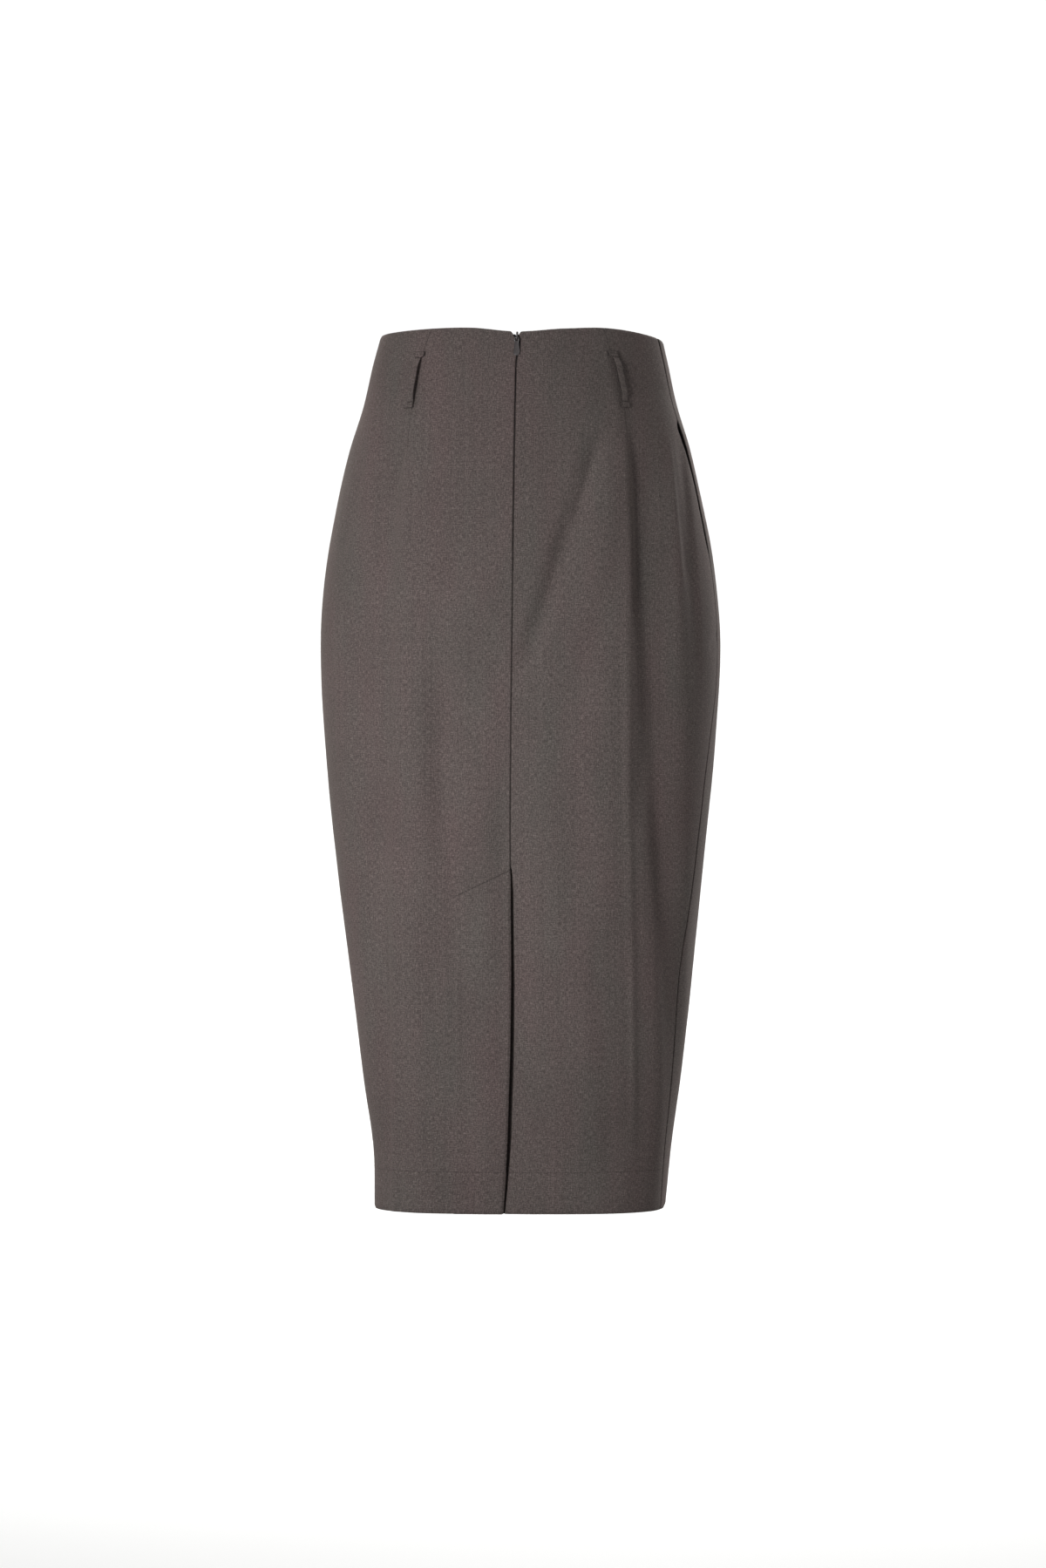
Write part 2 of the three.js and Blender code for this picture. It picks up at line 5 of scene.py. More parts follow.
import bpy
import numpy as np
from bpy.props import FloatProperty, FloatVectorProperty, PointerProperty
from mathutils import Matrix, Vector


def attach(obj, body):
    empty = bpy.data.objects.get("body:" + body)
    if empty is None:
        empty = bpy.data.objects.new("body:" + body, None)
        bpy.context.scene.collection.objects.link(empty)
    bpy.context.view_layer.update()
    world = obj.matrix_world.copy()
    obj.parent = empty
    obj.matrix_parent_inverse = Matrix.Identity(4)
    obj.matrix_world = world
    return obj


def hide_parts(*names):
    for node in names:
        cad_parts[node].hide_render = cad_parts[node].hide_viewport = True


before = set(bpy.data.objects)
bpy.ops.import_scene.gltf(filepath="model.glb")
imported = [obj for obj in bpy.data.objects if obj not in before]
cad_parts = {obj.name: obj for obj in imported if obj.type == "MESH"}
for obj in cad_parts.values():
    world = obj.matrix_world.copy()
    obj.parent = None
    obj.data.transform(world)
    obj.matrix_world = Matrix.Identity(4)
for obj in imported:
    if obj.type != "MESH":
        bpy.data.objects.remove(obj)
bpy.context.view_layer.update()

bl_info = {
    "name": "Pencil Skirt",
    "version": (1, 0, 0),
    "blender": (4, 5, 0),
    "location": "3D View > Sidebar > Skirt",
    "description": "Builds a pencil skirt with a concealed back zip, a back vent, pockets and belt loops",
    "category": "Add Mesh",
}

MM = 0.001

# Sections through the skirt as worn, in millimetres
SECTIONS = (("z", "half", "back", "front", "square", "lean"), (
    (5, 124.4, 91, 86, 2.1, -1.2),
    (-24, 131.5, 95, 91, 2.1, -0.6),
    (-60, 139.3, 101, 98, 2.12, -0.2),
    (-100, 151.5, 109, 106, 2.15, 0),
    (-150, 163.3, 120, 111, 2.2, 0),
    (-200, 172.2, 127, 112, 2.25, 0),
    (-250, 177, 129, 112, 2.3, -0.3),
    (-300, 176.8, 127, 111, 2.32, -0.4),
    (-360, 173.2, 122, 109, 2.36, -0.2),
    (-420, 167.6, 117, 107, 2.45, 0),
    (-480, 161.5, 111, 105, 2.52, -0.4),
    (-540, 153.8, 106, 102, 2.6, -1.2),
    (-600, 147.2, 101, 99, 2.7, -2),
    (-660, 140.2, 97, 96, 2.8, -2.2),
    (-720, 131.6, 94, 93, 2.9, -2.2),
    (-775, 128, 92, 92, 3, -0.4),
))

# The back seam: its drift to the wearer's left, how far the vent stands open, and how far each
# panel's edge lies from it; at the top the left edge laps behind the pull tab
BACK_SEAM = (("z", "shift", "open", "left", "right"), (
    (5, 0, 0.3, 5.4, 3.4),
    (0, 0, 0.3, 2.8, 1.3),
    (-3, 0, 0.3, 1.4, 2.2),
    (-6, 0, 0.3, 0.9, 2.9),
    (-9, 0, 0.3, 0.9, 3.2),
    (-12, 0, 0.3, -1.2, 3.1),
    (-20, 0.1, 0.3, -0.4, 1.6),
    (-27, 0.2, 0.3, 0.25, 0.6),
    (-205, 1, 0.3, 0.25, 0.25),
    (-215, 1.2, 0.3, 0.15, 0.15),
    (-330, 3, 0.3, 0.15, 0.15),
    (-466, 4.2, 0.3, 0.15, 0.15),
    (-470, 4.3, 1.4, 0.15, 0.15),
    (-490, 4.7, 2.9, 0.15, 0.15),
    (-560, 5.5, 3.4, 0.15, 0.15),
    (-640, 7.6, 3.8, 0.15, 0.15),
    (-700, 9.8, 3.8, 0.15, 0.15),
    (-775, 12.6, 2.2, 0.15, 0.15),
))

# How far behind the widest line each side seam lies
SIDE_SEAMS = (("z", "left", "right"), (
    (5, 20, 25),
    (-30, 13, 24),
    (-80, 4, 24),
    (-200, 2, 29),
    (-290, 2, 28),
    (-395, 3, 42),
    (-558, 4, 50),
    (-700, 4, 43),
    (-775, 4, 38),
))

# Height of the waist edge by turn from the centre back to the wearer's left
WAIST_EDGE = (("turn", "rise"), (
    (-0.5, -5), (-0.25, -3.4), (-0.12, 3), (-0.06, 1.6), (0, -1.2), (0.06, 2.6), (0.12, 3), (0.25, 1), (0.5, -5),
))
WAIST_FADE = 60

# Large folds: top height and place, foot height and place, bow, reach inwards and outwards,
# lift of the crest, and the lengths over which the two ends die away
FOLDS = (
    ("pleat crest left", -66, 90, -775, 105, 3, 50, 19, 3.8, 150, 420),
    ("pleat fall left", -70, 110, -740, 124, 3, 17, 30, -3.2, 160, 340),
    ("pleat crest right", -66, -88, -720, -126, 0, 52, 22, 4.6, 120, 420),
    ("pleat fall right", -70, -114, -690, -152, 0, 21, 32, -4.6, 130, 380),
    ("pocket crest right", -90, -150, -300, -154, 0, 13, 12, 1.2, 60, 110),
    ("pocket hollow right", -90, -168, -300, -174, 0, 13, 11, -1.8, 60, 110),
    ("slant hollow right", -85, -74, -300, -4, -5, 17, 17, -3.4, 60, 70),
    ("slant crest right", -110, -92, -330, -32, -5, 20, 20, 1.4, 70, 90),
    ("seat hollow left", -205, 146, -430, 140, 3, 20, 20, -2.4, 90, 130),
    ("long hollow left", -240, 66, -520, 60, 2, 18, 16, -1.8, 110, 150),
    ("back seam hollow", -300, 4, -775, 9, 0, 24, 24, -1.4, 140, 1),
    ("front crest left", -90, 318, -640, 292, 0, 34, 24, 3, 120, 300),
    ("front fall left", -120, 294, -600, 268, 0, 20, 18, -2, 120, 260),
    ("front crest right", -80, -322, -600, -300, 0, 30, 26, 2.6, 110, 280),
    ("front fall right", -110, -296, -640, -272, 0, 22, 18, -2.4, 140, 260),
    ("lap hollow", -300, 400, -760, 372, 0, 60, 60, -2.6, 180, 120),
)

# Creases, soft marks of seams and puckers: both ends as place and height, half width, lift, bow
CREASES = (
    ("dart shoulder left", 76, 0, 90, -100, 5, 0.35, 0),
    ("dart shoulder right", -76, 0, -94, -90, 6, 0.5, 0),
    ("dart fold right", -105, -76, -110, -262, 5, -1.9, 3),
    ("dart fold right lower", -109, -170, -113, -440, 9, -2.7, 2),
    ("dart fold edge right", -96, -84, -100, -260, 5, 1.2, 2),
    ("slant pucker right", -72, -96, -51, -172, 3.6, -1.9, 1),
    ("slant crest right", -64, -120, -36, -240, 8, 0.9, 2),
    ("slant crease right", -52, -158, -6, -306, 9, -2.2, 2),
    ("pucker by seam", -16, -124, -4, -150, 3.6, -0.6, 1),
    ("pucker by zip end", 2, -166, 20, -194, 3.4, -0.6, -1),
    ("pucker below zip", -14, -228, 0, -204, 3.4, -0.6, 1),
    ("waist crease left", 190, -34, 232, -37, 3.6, -0.5, 2),
    ("waist crease left two", 36, -44, 84, -42, 3.4, -0.45, 2),
    ("waist crease left three", 104, -52, 142, -40, 4, -0.5, 2),
    ("waist crease right", -128, -52, -150, -44, 3.4, -0.45, 1),
    ("side crease right", -196, -278, -226, -262, 4, -0.8, 2),
    ("side crease right two", -136, -300, -186, -284, 6, -0.5, 3),
    ("pocket facing ridge", -148, -84, -158, -232, 2.6, 0.6, -1),
    ("pocket facing fall", -155, -110, -166, -225, 5, -0.8, -1),
    ("seat crease left", 44, -158, 62, -236, 9, -1.0, 2),
    ("seat crease left two", 150, -118, 176, -196, 7, -0.8, 3),
    ("side fall left", 148, -240, 140, -396, 9, -0.9, 3),
    ("thigh fall left", 72, -270, 60, -490, 12, -1.5, 2),
    ("thigh crease left", 30, -330, 24, -452, 9, -0.6, 2),
    ("seam side fall left", 12, -390, 10, -470, 7, -0.5, 0),
    ("thigh crease right", -48, -350, -58, -540, 12, -0.8, 3),
    ("thigh crest right", -26, -380, -34, -560, 10, 0.7, 2),
    ("pleat ridge left", 108, -400, 117, -820, 4, 1.3, 0),
    ("pleat ridge left inner", 100, -430, 109, -820, 6, -0.8, 0),
    ("pleat flank left", 110, -100, 114, -190, 3.4, -0.9, 1),
    ("seat pucker left", 97, -92, 122, -158, 4.5, -1.8, 1),
    ("hip fall left", 151, -148, 137, -274, 8, -1.6, 1),
    ("fall edge right", -96, -220, -104, -740, 4, 1.5, 0),
    ("thigh crest left", 86, -300, 88, -800, 13, 1.7, 0),
    ("thigh hollow left", 46, -320, 44, -800, 15, -1.8, 0),
    ("knee crease left", 84, -560, 74, -744, 8, -0.5, 2),
    ("knee crease right", -66, -560, -82, -750, 10, -0.6, 3),
    ("seam valley", 5, -300, 10, -800, 20, -1.7, 0),
    ("fall crest right", -80, -230, -56, -780, 19, 2.2, 0),
    ("fall hollow right", -114, -330, -112, -790, 18, -3.0, 0),
    ("knee crest right", -22, -540, -30, -740, 12, 0.6, 2),
    ("underlap edge", 51, -492, 54, -720, 2.2, 0.6, 0.5),
    ("vent head step", 8, -476, 50, -496, 3.2, 0.45, 0),
    ("vent head groove", 6, -468, 50, -488, 2.8, -0.5, 0),
    ("front crease left", 258, -120, 306, -260, 9, -2.4, 4),
    ("front crease right", -262, -140, -312, -300, 9, -2.5, 4),
    ("front thigh crease", 440, -330, 416, -600, 13, -2.6, 5),
    ("front thigh crease two", -440, -380, -396, -640, 13, -2.4, -5),
    ("front lap crease", 330, -214, 420, -246, 7, -1.5, 6),
    ("front lap crease two", -340, -196, -420, -226, 7, -1.4, 5),
    ("front hip fall", 278, -260, 268, -560, 12, -2.2, 3),
    ("front hip fall two", -282, -260, -270, -560, 12, -2.3, 3),
    ("front knee crest", 360, -520, 352, -760, 13, 1.9, 2),
    ("front waist crease", 250, -44, 290, -38, 3.4, -0.45, 2),
    ("front waist crease two", -246, -50, -292, -43, 3.6, -0.5, 2),
)

# Fine seam lines drawn by the cloth's finish: both ends as place and height, and half width
SEAM_LINES = (
    ("dart left", 78, 4, 87, -19, 0.9),
    ("dart left lower", 95, -67, 98, -114, 0.9),
    ("dart right", -77, 4, -85.5, -19, 0.9),
    ("dart right lower", -99, -67, -101.5, -120, 1.0),
    ("vent head", 4, -469.5, 51, -492, 1.1),
    ("hem stitches left", 13, -733.5, 180, -733.5, 0.55),
    ("hem stitches right", -170, -733.5, 8, -733.5, 0.55),
    ("front dart left", 250, 4, 262, -16, 0.9),
    ("front dart left lower", 288, -64, 296, -100, 0.9),
    ("front dart right", -250, 4, -262, -16, 0.9),
    ("front dart right lower", -288, -64, -296, -100, 0.9),
)

CLOTH = 1.2  # the shown wall, a little inside the solid's
HEM_Z = -769
HEM_TURN = 35
HEM_EXTRA = 1.0
SEAM_GAP = 0.3
VENT_TOP = -470
VENT_SLANT = 22
UNDERLAP = 48
UNDERLAP_SINK = 2.6
UNDERLAP_DIP = 2.4  # how much deeper it lies just inside the vent
UNDERLAP_STEP = 4
FACING = 44  # width of the turned-in facing behind the vent's lapping edge
FACING_EXTRA = 0.5

POCKET_TOP = -72
POCKET_FOOT = -205
MOUTH_BACK = 4.6  # how far the mouth draws back each panel's edge
MOUTH_FRONT = 0.8
BAG_TOP = -64
BAG_FOOT = -322
BAG_FACING = 11
BAG_REACH = (("z", "reach"), ((-64, 46), (-120, 96), (-200, 124), (-270, 116), (-305, 88), (-322, 44)))

# Belt loops: top height and place, foot height and place, and how far aside each tacked end sits
BELT_LOOPS = (
    ("belt_loop_back_left", -16.5, 89.5, -66.5, 96.5, -0.9, 1.9),
    ("belt_loop_back_right", -16.5, -87.5, -66.5, -99, 1.9, 0.2),
    ("belt_loop_front_left", -19, 262, -69, 288, -1.2, 0.6),
    ("belt_loop_front_right", -19, -262, -69, -288, 0.8, -1.4),
)
LOOP_SEAT = 0.5
LOOP_STAND = 3.0
LOOP_THICK = 1.6

TAPE_WIDTH = 12.5
TAPE_SINK = 2.0
TAPE_TOP = -3
TAPE_FOOT = -216
TAPE_SPREAD = 1.25

PULL_LENGTH = 16.2
PULL_AXIS_Z = -6.4
PULL_AXIS_OUT = 1.9
PULL_LEAN = 4.53  # degrees outwards from straight down at rest
EYE_RADIUS = 1.62
EYE_WIRE = 0.54

CAMERA_AIM = (-0.0027, 0.0, -0.395)
CAMERA_AZIMUTH = 182.3
CAMERA_DISTANCE = 4.5
CAMERA_LENS = 116.2
FLOOR_Z = -1.25


def linear(code):
    """Linear red, green, blue and alpha of an sRGB hex colour."""
    parts = [int(code[i:i + 2], 16) / 255 for i in (0, 2, 4)]
    return tuple(c / 12.92 if c <= 0.04045 else ((c + 0.055) / 1.055) ** 2.4 for c in parts) + (1.0,)


def smooth(t):
    t = np.clip(t, 0, 1)
    return t * t * (3 - 2 * t)


def mix(a, b, t):
    return a + (b - a) * t


def power(value, exponent):
    return np.sign(value) * np.abs(value) ** exponent


def column(table, name):
    """The first column of a table and the named one, with the first rising."""
    names, rows = table
    data = np.array(rows, float)
    data = data[np.argsort(data[:, 0])]
    return data[:, 0], data[:, names.index(name)]


def read(table, name, place):
    """A column of a table at the given places, on a smooth curve through its rows."""
    xs, ys = column(table, name)
    slopes = np.gradient(ys)
    slopes[1:-1] = (ys[2:] - ys[:-2]) / (xs[2:] - xs[:-2])
    slopes[0] = (ys[1] - ys[0]) / (xs[1] - xs[0])
    slopes[-1] = (ys[-1] - ys[-2]) / (xs[-1] - xs[-2])
    place = np.clip(place, xs[0], xs[-1])
    i = np.clip(np.searchsorted(xs, place, side="right") - 1, 0, len(xs) - 2)
    span = xs[i + 1] - xs[i]
    t = (place - xs[i]) / span
    bend = t * (1 - t) ** 2 * slopes[i] - t * t * (1 - t) * slopes[i + 1]
    return mix(ys[i], ys[i + 1], t * t * (3 - 2 * t)) + span * bend


def read_straight(table, name, place):
    """A column of a table at the given places, on straight lines between its rows."""
    xs, ys = column(table, name)
    return np.interp(place, xs, ys)


class Form:
    """The closed outlines of the skirt, one every few millimetres, by distance run from the centre back."""

    SAMPLES = 720
    STEP = 2.0
    HIGH = 9.0
    LOW = -785.0

    def __init__(self):
        self.z = np.arange(self.HIGH, self.LOW, -self.STEP)
        angle = np.linspace(0, 2 * math.pi, self.SAMPLES + 1)[None, :]
        half, back, front, square = (
            read(SECTIONS, name, self.z)[:, None] for name in ("half", "back", "front", "square")
        )
        self.u = power(np.sin(angle), 2 / square)
        self.v = power(np.cos(angle), 2 / square)
        x = half * self.u
        y = np.where(np.cos(angle) > 0, back, front) * self.v
        steps = np.hypot(np.diff(x, axis=1), np.diff(y, axis=1))
        self.run = np.concatenate([np.zeros((len(self.z), 1)), np.cumsum(steps, axis=1)], axis=1)
        self.back_y = y
        self.stack = 4 * self.run.max()
        self.flat = (self.run + self.stack * np.arange(len(self.z))[:, None]).ravel()

    def rounds(self, z):
        """The length round the skirt at these heights."""
        return np.interp(-np.asarray(z, float), -self.z, self.run[:, -1])

    def on_row(self, row, share):
        """Unit outline coordinates at a share of the way round, on the given stored rows."""
        run = share * self.run[row, -1]
        i = np.searchsorted(self.flat, run + row * self.stack, side="right") - 1
        i = np.clip(i - row * (self.SAMPLES + 1), 0, self.SAMPLES - 1)
        a = self.run[row, i]
        b = self.run[row, i + 1]
        t = (run - a) / (b - a)
        return mix(self.u[row, i], self.u[row, i + 1], t), mix(self.v[row, i], self.v[row, i + 1], t)

    def side_run(self, side, behind, z):
        """Distance from the centre back to the side point that lies this far behind the widest line."""
        quarter = self.SAMPLES // 4
        found = []
        for height, want in zip(np.atleast_1d(z), np.atleast_1d(behind)):
            row = int(np.clip(round((self.HIGH - height) / self.STEP), 0, len(self.z) - 1))
            if side > 0:
                found.append(np.interp(-want, -self.back_y[row, :quarter + 1], self.run[row, :quarter + 1]))
            else:
                backwards = self.run[row, -1] - self.run[row, ::-1][:quarter + 1]
                found.append(-np.interp(-want, -self.back_y[row, ::-1][:quarter + 1], backwards))
        return np.array(found)


FORM = Form()


def side_seam(side, z):
    """The side seam's place at each height: side is 1 at the wearer's left, -1 at the right."""
    heights = np.linspace(5, -775, 160)
    behind = read(SIDE_SEAMS, "left" if side > 0 else "right", heights)
    places = FORM.side_run(side, behind, heights)
    return np.interp(-np.asarray(z, float), -heights, places)


def fold_relief(s, z):
    """How far the large folds push the cloth out."""
    push = np.zeros_like(s)
    around = FORM.rounds(z)
    for name, top, at, foot, end, bow, inner, outer, lift, fade_top, fade_foot in FOLDS:
        t = np.clip((z - top) / (foot - top), 0, 1)
        away = s - mix(at, end, t) - bow * np.sin(math.pi * t)
        away = away - around * np.round(away / around)
        away = -away if at < 0 else away
        reach = np.abs(away) / np.where(away > 0, outer, inner)
        grow = smooth((top + fade_top * 0.3 - z) / fade_top)
        die = smooth((z - foot + fade_foot * 0.3) / fade_foot)
        push += np.where(reach < 1, lift * grow * die * np.cos(math.pi / 2 * np.minimum(reach, 1)) ** 2, 0)
    return push


def crease_relief(s, z):
    """How far the small creases, puckers and seam marks push the cloth."""
    push = np.zeros_like(s)
    around = FORM.rounds(z)
    for name, s0, z0, s1, z1, width, lift, bow in CREASES:
        ds, dz = s1 - s0, z1 - z0
        long = math.hypot(ds, dz)
        ps = s - s0
        ps = ps - around * np.round(ps / around)
        pz = z - z0
        t = (ps * ds + pz * dz) / long ** 2
        off = (ps * dz - pz * ds) / long
        inside = np.clip(t, 0, 1)
        off = off - bow * np.sin(math.pi * inside)
        ends = smooth((t + 0.02) / 0.22) * smooth((1.02 - t) / 0.22)
        push += lift * ends * np.exp(-(off / width) ** 2)
    return push


def drift_relief(s, z):
    """Very soft uneven swells, so that no stretch of the cloth is perfectly even."""
    rng = np.random.default_rng(7)
    push = np.zeros_like(s)
    around = FORM.rounds(z)
    turn = 2 * math.pi * s / around
    for wave in range(14):
        count = int(rng.integers(3, 13))
        tall = rng.uniform(90, 260)
        phase, tilt = rng.uniform(0, 2 * math.pi, 2)
        size = rng.uniform(0.10, 0.22)
        push += size * np.sin(count * turn + phase + z / tall * 2 * math.pi * 0.5) * np.sin(z / tall * math.pi + tilt)
    return push


def skin(s, z, out=0.0, folds=True, fine=True):
    """Points of the cloth's outside at distance s round from the centre back, moved out square to it."""
    s, z = np.broadcast_arrays(np.asarray(s, float), np.asarray(z, float))
    place = np.clip((FORM.HIGH - z) / FORM.STEP, 0, len(FORM.z) - 1.001)
    row = place.astype(int)
    part = place - row
    share = np.mod(s / FORM.rounds(z), 1.0)
    u0, v0 = FORM.on_row(row, share)
    u1, v1 = FORM.on_row(row + 1, share)
    u, v = mix(u0, u1, part), mix(v0, v1, part)
    half, back, front, square, lean = (
        read(SECTIONS, name, z) for name in ("half", "back", "front", "square", "lean")
    )
    depth = np.where(v > 0, back, front)
    nx = power(u, square - 1) / half
    ny = power(v, square - 1) / depth
    size = np.hypot(nx, ny)
    nx, ny = nx / size, ny / size
    push = out + (fold_relief(s, z) if folds else 0) + (crease_relief(s, z) + drift_relief(s, z) if fine else 0)
    return np.stack([half * u + lean + nx * push, depth * v + ny * push, z], axis=-1)


def waist_height(s, z):
    """The height of a row of the cloth: it follows the waist edge at the top and is level lower down."""
    turn = s / FORM.rounds(z)
    turn = turn - np.round(turn)
    return z + read(WAIST_EDGE, "rise", turn) * np.clip(1 + z / WAIST_FADE, 0, 1)


def mouth(z):
    """How far the pocket holds a side seam open: most near its head, and less and less towards its foot."""
    t = (z - POCKET_TOP) / (POCKET_FOOT - POCKET_TOP)
    return smooth(t / 0.07) * smooth((1 - t) / 0.22) * mix(1.5, 0.85, smooth((t - 0.06) / 0.4))


def shell(name, outer, inner, uv, painted_shade, cells=None, swell=0.1):
    """A closed wall between two faces laid on one grid, with a rounded edge where the cloth ends.

    outer and inner hold points in millimetres by row and column, cells says which cells are cloth, and
    swell is how far the edge bulges, in shares of the wall."""
    rows, cols = outer.shape[:2]
    count = rows * cols
    if cells is None:
        cells = np.ones((rows - 1, cols - 1), bool)
    index = np.arange(count).reshape(rows, cols)
    quads = np.stack([index[:-1, :-1], index[:-1, 1:], index[1:, 1:], index[1:, :-1]], -1)[cells]
    edges = np.concatenate([quads[:, [k, (k + 1) % 4]] for k in range(4)])
    keys = edges[:, 0] * count + edges[:, 1]
    edges = edges[~np.isin(keys, edges[:, 1] * count + edges[:, 0])]
    front, back = outer.reshape(-1, 3), inner.reshape(-1, 3)
    swell = np.broadcast_to(swell, (rows, cols)).ravel()
    wall = front - back
    thick = np.linalg.norm(wall, axis=1, keepdims=True)
    away = np.zeros_like(front)
    side = np.cross(front[edges[:, 1]] - front[edges[:, 0]], wall[edges[:, 0]])
    for k in (0, 1):
        np.add.at(away, edges[:, k], side)
    size = np.linalg.norm(away, axis=1, keepdims=True)
    away = away / np.where(size > 0, size, 1)
    points = [front, back]
    rings = [edges]
    for angle in (45, 90, 135):
        lean, push = (1 - math.cos(math.radians(angle))) / 2, math.sin(math.radians(angle))
        points.append(mix(front, back, lean) + away * thick * (swell * push)[:, None])
        rings.append(edges + count * len(points) - count)
    rings.append(edges + count)
    strips = [np.stack([a[:, 1], a[:, 0], b[:, 0], b[:, 1]], -1) for a, b in zip(rings[:-1], rings[1:])]
    faces = np.concatenate([quads, quads[:, ::-1] + count] + strips)
    used, faces = np.unique(faces, return_inverse=True)
    faces = faces.reshape(-1, 4)
    layers = len(points)
    return plain_mesh(
        name,
        np.concatenate(points)[used] * MM,
        faces,
        np.tile(uv.reshape(-1, 2), (layers, 1))[used],
        np.tile(painted_shade.ravel(), layers)[used],
    )


def plain_mesh(name, points, faces, uv=None, painted_shade=None):
    """A smooth-shaded mesh object at the origin, from points in metres and equal-sided faces."""
    mesh = bpy.data.meshes.new(name)
    mesh.from_pydata(np.asarray(points).tolist(), [], np.asarray(faces).tolist())
    mesh.polygons.foreach_set("use_smooth", [True] * len(mesh.polygons))
    if uv is not None:
        layer = mesh.uv_layers.new(name="cloth")
        corners = np.asarray(faces).ravel()
        layer.data.foreach_set("uv", np.asarray(uv)[corners].astype(np.float32).ravel())
    if painted_shade is not None:
        mesh.attributes.new("painted_shade", "FLOAT", "POINT").data.foreach_set("value", np.asarray(painted_shade, np.float32))
    mesh.update()
    thing = bpy.data.objects.new(name, mesh)
    bpy.context.scene.collection.objects.link(thing)
    return thing


def finish_piece(thing, material, slot, body, *nodes):
    """Gives a piece its finish and its body, and lets it stand for its nodes; slot is not used."""
    thing.data.materials.clear()
    thing.data.materials.append(material)
    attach(thing, body)
    if nodes:
        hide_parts(*nodes)
    return thing


def cloth_rows():
    """Heights of a panel's rows, close together at the turned edges."""
    edge = np.array([0, 0.35, 0.8, 1.4, 2.2])
    top = -edge
    foot = (HEM_Z + edge)[::-1]
    turn = HEM_Z + HEM_TURN
    upper = np.linspace(top[-1], turn + 1.6, 248)[1:-1]
    lower = np.linspace(turn - 1.6, foot[0], 12)[1:-1]
    fold = turn + np.array([1.6, 0.6, -0.6, -1.6])
    return np.concatenate([top, upper, fold, lower, foot])


def spread(start, end, count, near, far):
    """Places across a panel for each row: fixed steps at both edges, even ones between."""
    near, far = np.array(near), np.array(far)
    a, b = start + near[-1], end - far[-1]
    t = np.linspace(0, 1, count)[None, 1:-1]
    return np.concatenate([start[:, None] + near, mix(a[:, None], b[:, None], t), end[:, None] - far[::-1]], axis=1)


SEAM_STEPS = (0, 0.3, 0.7, 1.2, 1.9, 2.9)
ROLL_STEPS = (0, 0.25, 0.5, 0.8, 1.1, 1.5, 1.9, 2.3, 2.8, 3.3, 3.9, 4.6)


def edge_roll(distance, depth, width):
    """How far a turned or sewn edge curls in, by distance from it."""
    return -depth * (1 - smooth(distance / width))


def panel(name, s, z, drop=0.0, sink=0.0, inner_extra=0.0, cells=None, swell=0.1, edges=(), shade=0.0, notch=99.0):
    """A cloth panel on a grid of places s and row heights z.

    sink moves its outside, each edge is a distance from it, a depth, a width and a tone, and notch is the
    distance from the corner that the waist rounds off at the zip."""
    height = waist_height(s, z) - drop - 3.2 * (1 - smooth(notch / 4)) ** 2 * np.clip(1 + z / 8, 0, 1)
    lift = sink + edge_roll(-z, 0.45, 1.4) + edge_roll(z - HEM_Z, 0.6, 1.6)
    # The fold of the hem and the waist edge are painted darker: painted shade where the cloth turns in
    painted_shade = 0.3 * np.exp(-np.abs(z - HEM_Z) / 1.2) + 0.15 * np.exp(-np.abs(z) / 1.0) + shade
    # Each edge's last value paints shade into the colour where that edge curls in
    for distance, depth, width, dark in edges:
        lift = lift + edge_roll(distance, depth, width)
        painted_shade = painted_shade + dark * np.exp(-((distance / width / 0.5) ** 2))
    outer = skin(s, height, lift)
    thick = CLOTH + inner_extra + HEM_EXTRA * smooth((HEM_Z + HEM_TURN + 0.6 - z) / 1.2)
    inner = skin(s, height, np.minimum(lift, sink) - thick)
    uv = np.stack([s * MM, height * MM], axis=-1)
    return shell(name, outer, inner, uv, np.clip(painted_shade, 0, 1.5), cells, swell)


def back_left_panel():
    rows = cloth_rows()
    z = rows[:, None]
    start = read_straight(BACK_SEAM, "shift", rows) + read_straight(BACK_SEAM, "left", rows)
    end = side_seam(1, rows) - SEAM_GAP / 2 - MOUTH_BACK * mouth(rows)
    s = spread(start, end, 92, ROLL_STEPS, SEAM_STEPS)
    z = np.broadcast_to(z, s.shape)
    from_back, from_side = s - start[:, None], end[:, None] - s
    vent = smooth((VENT_TOP + 2 - z) / 6)
    facing = FACING_EXTRA * smooth((VENT_TOP - 4 - z) / 6) * smooth((FACING - from_back) / 1.5)
    # The lapping edge stands a little off the underlap towards the hem
    stand = 1.3 * smooth((VENT_TOP - z) / 200) * smooth((26 - from_back) / 26)
    swell = np.full(s.shape, 0.1)
    swell[[0, -1], :] = 0.45
    swell[:, 0] = mix(0.1, 0.45, vent[:, 0])
    return panel(
        "left_back", s, z, sink=stand, inner_extra=facing, swell=swell, notch=from_back,
        edges=(
            (from_back, mix(0.5, 0.6, vent), mix(1.1, 1.8, vent), mix(1.1, 0.4, vent)),
            (from_side, 0.6, 1.2, 0.8),
        ),
    )


